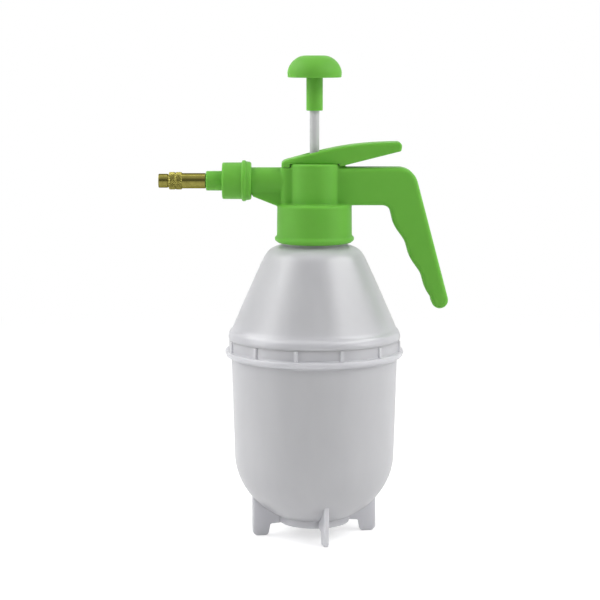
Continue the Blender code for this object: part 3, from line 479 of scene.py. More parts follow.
def begin(name: str) -> Solid:
    """Start a mesh as one vertex at the origin, in edit mode.

    Args:
        name: the new piece's name.

    Returns:
        The object, which is active.
    """
    clear_selection()
    bpy.ops.mesh.primitive_plane_add(size=1.0)
    item = bpy.context.object
    item.name = name
    item.data.name = name
    bpy.ops.object.mode_set(mode="EDIT")
    bpy.ops.mesh.select_mode(type="VERT")
    bpy.ops.mesh.select_all(action="SELECT")
    bpy.ops.mesh.merge(type="CENTER")
    return item


def trace(points: Sequence[Vector]) -> None:
    """Extrude the selected vertex from point to point."""
    bpy.ops.transform.translate(value=points[0])
    for last, point in zip(points, points[1:]):
        bpy.ops.mesh.extrude_vertices_move(TRANSFORM_OT_translate={"value": point - last})


def close_mesh(merge_mm: float = 0.002) -> None:
    """Merge doubles, point the faces outwards and leave edit mode."""
    bpy.ops.mesh.select_all(action="SELECT")
    bpy.ops.mesh.remove_doubles(threshold=merge_mm)
    bpy.ops.mesh.normals_make_consistent(inside=False)
    bpy.ops.object.mode_set(mode="OBJECT")


def lathe(
    name: str, corners: Sequence[Corner], axis: Axis = Axis.Z, centre: Place = ORIGIN, steps: int = 96
) -> Solid:
    """Spin a closed (radius, height) profile about an axis.

    Args:
        name: the piece's name.
        corners: the profile's corners in order, as soften() takes them.
        axis: the direction of the axis.
        centre: a point that the axis runs through.
        steps: facets round the piece.

    Returns:
        The turned solid.
    """
    item = begin(name)
    line = [Vector((radius, 0.0, height)) for radius, height in soften(corners)]
    trace(line + line[:1])
    bpy.ops.mesh.select_all(action="SELECT")
    bpy.ops.mesh.spin(steps=steps, angle=math.tau, center=ORIGIN, axis=(0.0, 0.0, 1.0))
    close_mesh()
    item.data.transform(Matrix.Translation(centre) @ axis.turn)
    return item


def bar(
    name: str,
    radius: float,
    low: float,
    high: float,
    axis: Axis = Axis.Z,
    centre: Place = ORIGIN,
    steps: int = 64,
) -> Solid:
    """A plain round solid, used to join or cut."""
    return lathe(name, [(0.0, high), (radius, high), (radius, low), (0.0, low)], axis, centre, steps)


def select_edges(item: Solid, test: Callable[[Vector, Vector], bool]) -> None:
    """Enter edit mode with the edges selected whose two ends pass a test.

    Args:
        item: the object that is edited.
        test: says whether an edge between two points is wanted.
    """
    make_active(item)
    bpy.ops.object.mode_set(mode="EDIT")
    bpy.ops.mesh.select_mode(type="EDGE")
    bpy.ops.mesh.select_all(action="DESELECT")
    bpy.ops.object.mode_set(mode="OBJECT")
    places = item.data.vertices
    for edge in item.data.edges:
        edge.select = test(*(places[i].co for i in edge.vertices))
    bpy.ops.object.mode_set(mode="EDIT")


def slab(
    name: str,
    corners: Sequence[Corner],
    low: float,
    high: float,
    along: Axis = Axis.Y,
    edge: float = 0.0,
    segments: int = 4,
) -> Solid:
    """Extrude a filled outline and round the edges at its two ends.

    Args:
        name: the piece's name.
        corners: the outline, as soften() takes it: in XZ for a slab along Y, in XY for one along Z.
        low: where the slab starts.
        high: where it ends.
        along: the direction of the extrusion.
        edge: radius of the rounded end edges.
        segments: chords in that rounding.

    Returns:
        The solid.
    """
    item = begin(name)
    upright = along is Axis.Z
    trace([Vector((x, y, low)) if upright else Vector((x, low, y)) for x, y in soften(corners)])
    bpy.ops.mesh.select_all(action="SELECT")
    bpy.ops.mesh.edge_face_add()
    step = Vector((0, 0, high - low)) if upright else Vector((0, high - low, 0))
    bpy.ops.mesh.extrude_region_move(TRANSFORM_OT_translate={"value": step})
    close_mesh()
    if edge:
        select_edges(item, lambda a, b: abs((b - a).dot(step)) < 1e-4)
        bpy.ops.mesh.bevel(offset=edge, segments=segments, profile=0.5, affect="EDGES")
        close_mesh(1e-5)
    return item


def apply_modifier(item: Solid, modifier: bpy.types.Modifier) -> None:
    """Apply one modifier to the mesh."""
    make_active(item)
    bpy.ops.object.modifier_apply(modifier=modifier.name)


def combine(target: Solid, how: Mix, *tools: Solid) -> None:
    """Join tools to a solid or cut them out of it, and remove them.

    Args:
        target: the solid that is changed.
        how: join or cut.
        tools: the solids used.
    """
    for tool in tools:
        step = target.modifiers.new(tool.name, "BOOLEAN")
        step.operation = how.value
        step.solver = "EXACT"
        step.object = tool
        apply_modifier(target, step)
        bpy.data.objects.remove(tool)


def remould(item: Solid, voxel: float, rounds: int = 5) -> None:
    """Remesh a solid evenly and round its edges and inside corners, as a mould's fillets do.

    Args:
        item: the solid.
        voxel: mesh size in millimetres.
        rounds: how often the surface is smoothed.
    """
    even = item.modifiers.new("even", "REMESH")
    even.mode = "VOXEL"
    even.voxel_size = voxel
    apply_modifier(item, even)
    soft = item.modifiers.new("soft", "SMOOTH")
    soft.factor = 0.5
    soft.iterations = rounds
    apply_modifier(item, soft)


def turned_copies(item: Solid, count: int) -> list[Solid]:
    """Copy a piece round the tank axis, each copy with its own mesh.

    Args:
        item: the first piece, which is one of the result.
        count: how many there are in all.

    Returns:
        All the pieces.
    """
    found = [item]
    for k in range(1, count):
        copy = item.copy()
        copy.data = item.data.copy()
        copy.data.transform(Matrix.Rotation(math.tau * k / count, 4, "Z"))
        bpy.context.scene.collection.objects.link(copy)
        found.append(copy)
    return found


def merge_objects(items: Sequence[Solid]) -> Solid:
    """Make one object of several that don't touch each other."""
    make_active(items[0])
    for item in items:
        item.select_set(True)
    bpy.ops.object.join()
    return items[0]


def thread(
    name: str, section: Sequence[Point], low: float, pitch: float = 4.0, turns: float = 2.4, steps: int = 96
) -> Solid:
    """Wind a closed (radius, height) section up the tank axis as a screw thread.

    Args:
        name: the piece's name.
        section: the ridge's outline.
        low: height where the ridge starts.
        pitch: rise for each turn.
        turns: how many turns it has.
        steps: facets for each turn.

    Returns:
        The ridge as a closed solid.
    """
    item = begin(name)
    line = [Vector((radius, 0.0, low + height)) for radius, height in section]
    trace(line + line[:1])
    close_mesh()
    wind = item.modifiers.new("wind", "SCREW")
    wind.angle = math.tau * turns
    wind.screw_offset = pitch * turns
    wind.steps = round(steps * turns)
    wind.render_steps = wind.steps
    apply_modifier(item, wind)
    make_active(item)
    bpy.ops.object.mode_set(mode="EDIT")
    bpy.ops.mesh.select_all(action="SELECT")
    bpy.ops.mesh.fill_holes(sides=0)
    close_mesh()
    return item


def seat(item: Solid, body: Body, palette: Palette, slot: Slot, *nodes: str, angle: float = 38.0) -> None:
    """Put a finished piece in the frame and give it its finish.

    Args:
        item: the piece, in millimetres from the tank axis.
        body: the body that it moves with.
        palette: the finishes.
        slot: the record's slot for its finish.
        nodes: the CAD nodes that it stands for.
        angle: edges sharper than this stay sharp in the shading.
    """
    item.data.transform(Matrix.Translation((TANK_AXIS_X * MM, 0.0, 0.0)) @ Matrix.Scale(MM, 4))
    make_active(item)
    bpy.ops.object.shade_smooth_by_angle(angle=math.radians(angle))
    clear_selection()
    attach(item, body.value)
    palette.dress(item, slot)
    if nodes:
        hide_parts(*nodes)
    LOG.info("%s: %d faces on %s", item.name, len(item.data.polygons), body.value)


@dataclass(frozen=True)
class Turned:
    """A plain piece off the lathe, with (radius, height, rounding) corners as its profile."""

    name: str
    node: str
    slot: Slot
    profile: tuple[Corner, ...]
    body: Body = Body.HEAD
    axis: Axis = Axis.Z
    centre: Place = ORIGIN
    steps: int = 96

    def build(self, palette: Palette, cutters: Sequence[Solid] = ()) -> None:
        """Turn, cut and seat the piece.

        Args:
            palette: the finishes.
            cutters: solids that are cut out of it.
        """
        piece = lathe(self.name, self.profile, self.axis, self.centre, self.steps)
        combine(piece, Mix.CUT, *cutters)
        seat(piece, self.body, palette, self.slot, self.node)


@dataclass
class Tank:
    """Pressure tank: a cone with the screw neck, welded into a ribbed cup that stands on fins."""

    radius: float = 63.2
    wall: float = 2.3
    neck_radius: float = 25.0
    neck_bore: float = 22.6
    neck_top: float = 243.0
    neck_low: float = 224.4
    shoulder: Point = (38.0, 214.6)
    shoulder_handles: tuple[Point, Point] = ((25.8, 221.9), (33.4, 223.6))
    inner_shoulder: tuple[Point, ...] = ((32.0, 217.7), (24.6, 219.4), (22.6, 222.0))
    side_handles: tuple[Point, Point] = ((45.9, 198.2), (52.6, 182.6))
    side_wall: float = 2.5
    cone_foot: Point = (62.5, 159.9)
    skirt_handles: tuple[Point, Point] = ((64.3, 158.6), (65.2, 156.8))
    skirt: Point = (65.4, 153.8)
    spigot_bore: float = 58.6
    spigot_length: float = 7.6
    thread_low: float = 229.5
    thread_section: tuple[Point, ...] = ((24.8, 0.0), (25.45, 0.7), (25.45, 1.3), (24.8, 2.0))
    weld: float = 152.0
    groove_radius: float = 64.9
    rim_radius: float = 67.7
    rim_top: float = 143.7
    rim_low: float = 141.4
    cup_top: Point = (63.0, 136.4)
    bowl_radius: float = 61.0
    bowl_depth: float = 54.5
    bowl_top: float = 64.0
    disc_radius: float = 27.0
    disc_low: float = 9.5
    rib_count: int = 12
    rib_angle: float = -102.3
    rib_width: float = 2.8
    rib_radius: float = 66.3
    fin_count: int = 4
    fin_angle: float = -79.2
    fin_width: float = 3.8
    fin_radius: float = 48.3
    fin_edge: float = 0.8
    steps: int = 144

    def bowl(self, inner: float, outer: float, inset: float, steps: int = 28) -> list[Point]:
        """Points down the bowl from the outer to the inner radius.

        Args:
            inner: radius where the curve ends.
            outer: radius where it starts.
            inset: how far inside the outer skin it runs.
            steps: number of chords.

        Returns:
            (radius, height) points.
        """
        wide = self.bowl_radius - inset
        deep = self.bowl_depth - inset
        first = math.acos(min(1.0, outer / wide))
        last = math.acos(inner / wide)
        turns = [first + (last - first) * i / steps for i in range(steps + 1)]
        return [(wide * math.cos(t), self.bowl_top - deep * math.sin(t)) for t in turns]

    def cone(self) -> Solid:
        """Model the upper shell with its neck, shoulder, skirt and spigot."""
        spigot = self.radius - self.wall - 0.3
        spigot_low = self.weld - self.spigot_length
        neck_foot = (self.neck_radius, self.neck_low)
        shoulder = bezier(neck_foot, *self.shoulder_handles, self.shoulder, 18)
        side = bezier(self.shoulder, *self.side_handles, self.cone_foot, 24)
        skirt = bezier(self.cone_foot, *self.skirt_handles, self.skirt, 10)
        inside = [(r - self.side_wall, z) for r, z in reversed(side)]
        return lathe("tank_cone_shell", [
            (self.neck_bore, self.neck_top, 0.7), (self.neck_radius, self.neck_top, 0.9), *shoulder,
            *side[1:], *skirt[1:], (self.groove_radius + 0.1, self.weld), (spigot, self.weld, 0.2),
            (spigot, spigot_low, 0.3), (self.spigot_bore, spigot_low, 0.3),
            *((r, z) for r, z in inside if r < self.spigot_bore - 0.5), *self.inner_shoulder,
        ], steps=self.steps)

    def neck_thread(self) -> Solid:
        """Model the screw thread on the neck, shallow enough to clear the collar's own."""
        return thread("neck_thread", self.thread_section, self.thread_low)

    def rib(self) -> Solid:
        """Model one upright rib of the weld groove with rounded edges."""
        outer, half, edge = self.rib_radius, self.rib_width / 2, 0.7
        inner = self.groove_radius - 1.0
        outline = [(inner, -half), (outer, -half, edge), (outer, half, edge), (inner, half)]
        rib = slab("rib", outline, self.rim_top - 0.6, self.weld - 0.3, Axis.Z)
        rib.data.transform(Matrix.Rotation(math.radians(self.rib_angle), 4, "Z"))
        return rib

    def fin(self) -> Solid:
        """Model one standing fin with its rounded foot, its top buried in the bowl's wall."""
        inner = self.disc_radius - 6.0
        half = self.fin_width / 2
        fin = slab("fin", [
            (inner, self.disc_low + 0.4), (self.disc_radius + 7.4, self.disc_low - 0.7, 1.5),
            (self.disc_radius + 9.0, 0.0, 3.0), (self.fin_radius, 0.0, 4.5),
            *self.bowl(inner, self.fin_radius, self.wall / 2, 16),
        ], -half, half, edge=self.fin_edge)
        fin.data.transform(Matrix.Rotation(math.radians(self.fin_angle), 4, "Z"))
        return fin

    def cup(self) -> Solid:
        """Model the lower shell with groove, ribs, rolled rim, bowl, base disc and fins."""
        top = self.weld - 0.05
        bore = self.radius - self.wall
        wide, low = self.rim_radius, self.rim_low
        foot_radius, foot = self.cup_top
        roll_handles = ((wide - 2.0, low - 3.4), (foot_radius + 0.2, foot + 3.0))
        cup = lathe("tank_cup_shell", [
            (bore, top, 0.3), (self.groove_radius, top), (self.groove_radius, self.rim_top, 1.4),
            (wide, self.rim_top, 1.0), (wide, low, 1.0),
            *bezier((wide - 0.9, low - 1.8), *roll_handles, self.cup_top, 10),
            *self.bowl(self.disc_radius, self.bowl_radius, 0.0), (self.disc_radius, self.disc_low, 1.2),
            (0.0, self.disc_low), *reversed(self.bowl(0.0, self.bowl_radius - self.wall, self.wall)),
            (foot_radius - self.wall, foot), (bore, self.rim_top - 0.5),
        ], steps=self.steps)
        ribs = merge_objects(turned_copies(self.rib(), self.rib_count))
        combine(cup, Mix.JOIN, ribs, *turned_copies(self.fin(), self.fin_count))
        return cup

    def build(self, palette: Palette) -> None:
        """Make and seat the tank's pieces."""
        seat(self.cone(), Body.TANK, palette, Slot.TANK, "tank_upper_cone")
        seat(self.neck_thread(), Body.TANK, palette, Slot.TANK)
        seat(self.cup(), Body.TANK, palette, Slot.TANK, "tank_lower_cup")


@dataclass
class Head:
    """Green head moulding: collar, boss, front column, spout with gusset, arm, grip and lever lug."""

    roof: float = 248.3
    collar_bore: float = 25.9
    collar_radius: float = 28.1
    collar_top: float = 254.8
    collar_low: float = 225.2
    ring_radius: float = 30.0
    thread_low: float = 230.0
    thread_section: tuple[Point, ...] = ((26.1, 0.0), (25.55, 0.6), (25.55, 1.2), (26.1, 1.8))
    boss_radius: float = 20.0
    boss_top: float = 285.0
    deck: float = 282.3
    column_front: float = -24.9
    column_corner: float = 3.5
    half_width: float = 11.0
    edge: float = 3.0
    arm_root: float = 4.0
    arm_low: float = 254.0
    arm_inner: float = 55.8
    grip_corner: float = 74.56
    grip_corner_radius: float = 14.5
    grip_slant: float = 14.94
    grip_drop: float = 106.5
    grip_end: float = 6.5
    grip_inner: Point = (60.7, 239.2)
    grip_taper: float = 0.4936
    groove_pitch: float = 24.3
    groove_crest: float = 226.6
    groove_depth: float = 0.95
    groove_samples: int = 40
    spout_radius: float = 10.2
    spout_bore: float = 8.4
    spout_end: float = -62.0
    gusset_front: float = -46.8
    gusset_low: float = 252.3
    gusset_half: float = 6.0
    lug_radius: float = 3.6
    lug_half: float = 6.5
    pump_room: float = 12.8
    lip_bore: float = 8.0
    lip_z: float = 279.3
    valve_bore: float = 3.3
    notch_depth: float = 1.8
    notch_half: float = 8.6
    notch_wall: float = 1.7
    voxel: float = 0.69

    def handle(self) -> Solid:
        """Model arm and grip in one outline with the filleted corner and the finger grooves."""
        slant = math.radians(self.grip_slant)
        down = Vector((math.sin(slant), -math.cos(slant)))
        inward = Vector((down.y, -down.x))
        half = self.grip_end
        end_z = self.deck - self.grip_drop + half
        back_x = self.grip_corner + (self.deck - end_z) * math.tan(slant)
        centre = Vector((back_x - half / math.cos(slant), end_z))
        back = centre + half * down - half * inward
        front = centre + half * down + half * inward
        inner_x, inner_z = self.grip_inner
        low_z, high_z = end_z + 2.0, inner_z + 2.0
        wave: list[Point] = []
        for k in range(self.groove_samples + 1):
            z = low_z + (high_z - low_z) * k / self.groove_samples
            swell = self.groove_depth * math.cos(math.tau * (z - self.groove_crest) / self.groove_pitch)
            wave.append((inner_x + self.grip_taper * (inner_z - z) + swell, z))
        outline = soften([
            (self.arm_root, self.deck), (self.grip_corner, self.deck, self.grip_corner_radius),
            (*back, half - 0.2), (*front, half - 0.2), *wave, (self.arm_inner, self.arm_low, 6.0),
            (self.arm_root, self.arm_low),
        ], 8.0)
        return slab("handle", outline, -self.half_width, self.half_width, edge=self.edge, segments=5)

    def solids(self) -> list[Solid]:
        """Model the solids that are joined to the collar."""
        inside = self.roof + 2.0
        boss = lathe("boss", [
            (0.0, self.boss_top), (self.boss_radius, self.boss_top, 0.4), (self.boss_radius, inside),
            (0.0, inside),
        ], steps=128)
        front, half, corner = self.column_front, self.half_width, self.column_corner
        footprint = [(front, -half, corner), (0.0, -half), (0.0, half), (front, half, corner)]
        column = slab("column", footprint, inside + 0.7, self.deck, Axis.Z)
        spout = bar("spout", self.spout_radius, self.spout_end, front + 2.0, Axis.X, NOZZLE_AXIS, 96)
        gusset_top = NOZZLE_AXIS_Z - self.spout_radius / 2
        gusset = slab("gusset", [
            (self.gusset_front, gusset_top),
            (self.gusset_front, NOZZLE_AXIS_Z - self.spout_radius - 1.2),
            (front - 1.1, self.gusset_low), (front + 3.0, self.gusset_low), (front + 3.0, gusset_top),
        ], -self.gusset_half, self.gusset_half)
        pivot_x, _, pivot_z = LEVER_PIVOT
        lug = slab("lug", [
            (pivot_x - self.lug_radius, self.deck - 2.0), (pivot_x + self.lug_radius, self.deck - 2.0),
            *arc(pivot_x, pivot_z, self.lug_radius, 0, 180, 18),
        ], -self.lug_half, self.lug_half)
        return [boss, column, self.handle(), spout, gusset, lug]

    def cutters(self) -> list[Solid]:
        """Model the bores and the notch that are cut out."""
        above = self.boss_top + 5.0
        below = self.roof - 3.0
        notch_low = self.deck - self.notch_depth
        notch_front = self.column_front + self.notch_wall
        notch_rear = -self.pump_room - 0.5
        bore_end = self.column_front - 5.1
        return [
            lathe("pump_bore", [
                (0.0, above), (self.lip_bore, above), (self.lip_bore, self.lip_z),
                (self.pump_room, self.lip_z), (self.pump_room, below), (0.0, below),
            ]),
            bar("valve_bore", self.valve_bore, self.roof - 2.0, notch_low + 1.0, centre=VALVE_AXIS),
            slab("valve_notch", [
                (notch_front, notch_low), (notch_rear, notch_low), (notch_rear, above),
                (notch_front, above),
            ], -self.notch_half, self.notch_half),
            bar("spout_bore", self.spout_bore, self.spout_end - 2.0, bore_end, Axis.X, NOZZLE_AXIS),
            bar("pin_hole", PIN_HOLE, -self.half_width, self.half_width, Axis.Y, LEVER_PIVOT),
        ]

    def moulding(self) -> Solid:
        """Model the whole head and give it the mould's fillets."""
        low, ring = self.collar_low, self.ring_radius
        head = lathe("head_moulding", [
            (0.0, self.collar_top), (self.collar_radius, self.collar_top, 2.0),
            (self.collar_radius + 0.3, low + 5.1), (ring, low + 4.4, 0.8), (ring, low + 2.1, 0.8),
            (ring - 2.6, low, 0.5), (self.collar_bore, low), (self.collar_bore, self.roof),
            (0.0, self.roof),
        ], steps=128)
        combine(head, Mix.JOIN, *self.solids())
        combine(head, Mix.CUT, *self.cutters())
        remould(head, self.voxel)
        return head

    def collar_thread(self) -> Solid:
        """Model the thread inside the collar, clear of the neck's own thread."""
        return thread("collar_thread", self.thread_section, self.thread_low)

    def build(self, palette: Palette) -> None:
        """Make and seat the head's pieces."""
        seat(self.moulding(), Body.HEAD, palette, Slot.GREEN, "head_body", angle=50.0)
        seat(self.collar_thread(), Body.HEAD, palette, Slot.GREEN)


@dataclass
class Lever:
    """Rocking trigger lever: a channel open below, slotted for the plunger, with the valve's shelf."""

    half_width: float = 10.8
    wall: float = 2.2
    skin: float = 1.7
    edge: float = 1.5
    front: float = -24.8
    rear: float = 65.46
    rear_corner: float = 3.2
    front_top: float = 287.6
    rear_top: float = 301.4
    rear_low: float = 294.7
    over_deck: float = 282.45
    over_boss: float = 285.15
    boss_reach: float = 18.66
    under: float = 283.1
    slot_radius: float = 7.0
    slot_reach: float = 2.1
    pin_room: float = 10.1
    shelf_low: float = 283.0
    shelf_top: float = 284.4
    shelf_rear: float = -14.4
    shelf_slot: float = 2.0
    voxel: float = 0.42

    def top(self, drop: float) -> list[Point]:
        """The upper curve from front to rear, lowered by drop."""
        return bezier(
            (self.front + 2.2, self.front_top - drop), (self.front + 33.8, self.front_top + 8.7 - drop),
            (self.rear - 40.3, self.rear_top - 0.4 - drop), (self.rear - 2.6, self.rear_top - drop),
            28,
        )

    def shelf(self) -> Solid:
        """Model the slotted tongue that lifts the valve stem."""
        half = self.half_width - self.wall - 0.3
        front, rear = self.front + self.wall - 0.6, self.shelf_rear
        low, top = self.shelf_low, self.shelf_top
        shelf = slab("shelf", [(front, low), (rear, low), (rear, top), (front, top)], -half, half)
        wide = self.shelf_slot
        slot = [*arc(VALVE_X, 0.0, wide, 90, 270, 16), (0.0, -wide), (0.0, wide)]
        combine(shelf, Mix.CUT, slab("shelf_slot", slot, low - 1.0, top + 1.0, Axis.Z))
        return shelf

    def round_rim(self, lever: Solid, sole: Sequence[Point]) -> None:
        """Round the lever's upper edges and leave its sole crisp, so that it sits close on the head.

        Args:
            lever: the solid lever.
            sole: the outline's points along the underside.
        """
        def on_sole(place: Vector) -> bool:
            """Say whether a vertex lies on the sole."""
            return any(math.hypot(place.x - x, place.z - z) < 0.01 for x, z in sole)

        select_edges(
            lever, lambda a, b: abs(a.y - b.y) < 1e-4 and not (on_sole(a) and on_sole(b))
        )
        bpy.ops.mesh.bevel(offset=self.edge, segments=4, profile=0.5, affect="EDGES")
        close_mesh(1e-5)

    def moulding(self) -> Solid:
        """Model the whole lever and give it the mould's fillets."""
        rear_low_x = self.rear - 0.6
        corner = self.rear_corner
        outline = [(self.front, self.front_top - 1.7), *self.top(0.0)]
        outline += arc(self.rear - corner, self.rear_top - corner, corner, 60, 0, 6)
        sole = [(rear_low_x, self.rear_low), (self.boss_reach, self.under)]
        sole += [(self.boss_reach, self.over_boss), (-self.boss_reach, self.over_boss)]
        sole += [(-self.boss_reach, self.over_deck), (self.front, self.over_deck)]
        lever = slab("lever_moulding", outline + sole, -self.half_width, self.half_width)
        self.round_rim(lever, sole)
        front = self.front + self.wall
        rear = rear_low_x - self.wall
        below = self.over_deck - 3.0
        inner = self.half_width - self.wall
        ceiling = [(x, z) for x, z in self.top(self.skin) if front < x < rear - 3.0]
        hollow = [(front, below), (front, self.front_top - self.skin - 0.2), *ceiling]
        hollow += [(rear, self.rear_top - self.skin), (rear, below)]
        slot = arc(self.slot_reach, 0.0, self.slot_radius, -90, 90, 24)
        slot += arc(-self.slot_reach, 0.0, self.slot_radius, 90, 270, 24)
        combine(
            lever,
            Mix.CUT,
            slab("lever_hollow", hollow, -inner, inner),
            slab("lever_slot", slot, self.over_boss - 3.0, self.rear_top + 5.0, Axis.Z),
            bar("pin_holes", PIN_HOLE, -self.pin_room, self.pin_room, Axis.Y, LEVER_PIVOT, 32),
        )
        combine(lever, Mix.JOIN, self.shelf())
        remould(lever, self.voxel)
        return lever

    def build(self, palette: Palette) -> None:
        """Make and seat the lever."""
        seat(self.moulding(), Body.LEVER, palette, Slot.GREEN, "trigger_lever", angle=50.0)


@dataclass
class Plunger:
    """Pump plunger: a hollow domed knob with its shank, on a pale bar."""

    knob_radius: float = 20.4
    flat_radius: float = 7.5
    top: float = 365.6
    rim: float = 349.3
    wall: float = 2.4
    ceiling: float = 361.1
    shank_radius: float = 6.2
    shank_low: float = 324.6
    socket: float = 3.9
    socket_top: float = 344.3
    bar: Turned = Turned("plunger_bar", "plunger_rod", Slot.ROD, (
        (0.0, 344.0), (3.6, 344.0, 0.6), (3.6, 259.3, 0.6), (0.0, 259.3),
    ), Body.PLUNGER, steps=64)

    def knob(self) -> Solid:
        """Model the mushroom knob, hollow below, with its shank."""
        wide, top, rim, ceiling = self.knob_radius, self.top, self.rim, self.ceiling
        inner = wide - self.wall
        dome_handles = ((wide - 6.8, top - 0.3), (wide - 0.8, top - 5.6))
        hollow_handles = ((inner, rim + 8.0), (wide - 7.3, ceiling))
        return lathe("knob_moulding", [
            (0.0, top), *bezier((self.flat_radius, top), *dome_handles, (wide, rim + 3.7), 20),
            (wide - 0.3, rim, 0.7),
            *bezier((inner, rim), *hollow_handles, (self.shank_radius + 0.6, ceiling), 16),
            (self.shank_radius, ceiling - 0.7), (self.shank_radius, self.shank_low, 0.5),
            (self.socket, self.shank_low, 0.3), (self.socket, self.socket_top), (0.0, self.socket_top),
        ], steps=128)

    def build(self, palette: Palette) -> None:
        """Make and seat the plunger's pieces."""
        seat(self.knob(), Body.PLUNGER, palette, Slot.GREEN, "plunger_knob")
        self.bar.build(palette)


@dataclass
class Nozzle:
    """Union nut, adaptor and the turned brass barrel with its knurled band."""

    turned: tuple[Turned, ...] = (
        Turned("union_nut", "nozzle_nut", Slot.GREEN, (
            (10.6, -47.6, 0.4), (14.15, -47.6, 1.6), (14.75, -51.6, 0.6), (15.45, -52.0, 0.7),
            (15.45, -54.2, 0.7), (13.85, -55.0, 0.5), (13.75, -69.5, 1.1), (7.75, -69.5, 0.3),
            (7.75, -66.3), (10.6, -66.3),
        ), axis=Axis.X, centre=NOZZLE_AXIS, steps=128),
        Turned("spray_adaptor", "nozzle_adaptor", Slot.GREEN, (
            (1.9, -64.1), (10.0, -64.1, 0.3), (10.0, -66.0, 0.3), (7.45, -66.0), (7.35, -81.7, 0.8),
            (3.7, -81.7, 0.2), (3.7, -72.0), (1.9, -72.0),
        ), axis=Axis.X, centre=NOZZLE_AXIS),
    )
    barrel_bore: float = 3.8
    barrel_radius: float = 5.75
    barrel_rear: float = -82.0
    ring_x: float = -87.0
    ring_room: float = 5.6
    ring_half: float = 1.1
    knurl_radius: float = 6.6
    knurl_rear: float = -99.8
    knurl_front: float = -109.6
    knurl_edge: float = 0.6
    knurl_rows: int = 34
    knurl_count: int = 22
    knurl_depth: float = 0.5
    waist: float = 0.7
    tip_radius: float = 5.25
    tip: float = -117.5
    orifice: float = 0.7
    steps: int = 264

    def knurl(self, place: Vector) -> float:
        """How deep the diamond knurl is cut at a point of the band.

        Args:
            place: a point of the barrel, in millimetres from the tank axis.

        Returns:
            The depth in millimetres.
        """
        around = math.atan2(place.z - NOZZLE_AXIS_Z, place.y) / math.tau * self.knurl_count
        pitch = math.tau * self.knurl_radius / self.knurl_count
        along = (place.x - self.knurl_front) / pitch
        cuts = [1 - abs(2 * ((around + sign * along) % 1.0) - 1) for sign in (1, -1)]
        middle = (self.knurl_rear + self.knurl_front) / 2
        waist = max(0.0, 1 - abs(place.x - middle) / self.waist)
        return min(self.knurl_depth, self.knurl_depth * max(max(cuts) * 1.6 - 0.6, waist))

    def barrel(self) -> Solid:
        """Model the brass barrel and cut its knurl."""
        rows, edge, wide = self.knurl_rows, self.knurl_edge, self.knurl_radius
        front = self.knurl_front + edge
        rear = self.knurl_rear - edge
        groove = self.tip_radius - 0.4
        ring_rear, ring_front = self.ring_x + self.ring_half, self.ring_x - self.ring_half
        barrel = lathe("brass_barrel", [
            (self.barrel_bore, self.barrel_rear, 0.2), (self.barrel_radius, self.barrel_rear, 0.5),
            (self.barrel_radius, self.knurl_rear), (wide - edge, self.knurl_rear),
            *((wide, rear + (front - rear) * k / rows) for k in range(rows + 1)),
            (wide - edge, self.knurl_front), (groove, self.knurl_front, 0.2),
            (groove, self.knurl_front - 0.9, 0.2), (self.tip_radius, self.knurl_front - 1.2, 0.2),
            (self.tip_radius, self.tip, 0.6), (self.orifice + 1.1, self.tip, 0.2),
            (self.orifice, self.tip + 1.2), (self.orifice, self.tip + 2.0),
            (self.barrel_bore, self.tip + 4.6), (self.barrel_bore, ring_front),
            (self.ring_room, ring_front), (self.ring_room, ring_rear), (self.barrel_bore, ring_rear),
        ], Axis.X, NOZZLE_AXIS, self.steps)
        for vertex in barrel.data.vertices:
            spoke = vertex.co - Vector(NOZZLE_AXIS)
            spoke.x = 0.0
            in_band = rear + 0.01 >= vertex.co.x >= front - 0.01
            if in_band and spoke.length > wide - 0.01:
                vertex.co -= spoke.normalized() * self.knurl(vertex.co)
        return barrel

    def build(self, palette: Palette) -> None:
        """Make and seat the nozzle's pieces."""
        for piece in self.turned:
            piece.build(palette)
        seat(self.barrel(), Body.NOZZLE_TIP, palette, Slot.BRASS, "nozzle_barrel", angle=30.0)


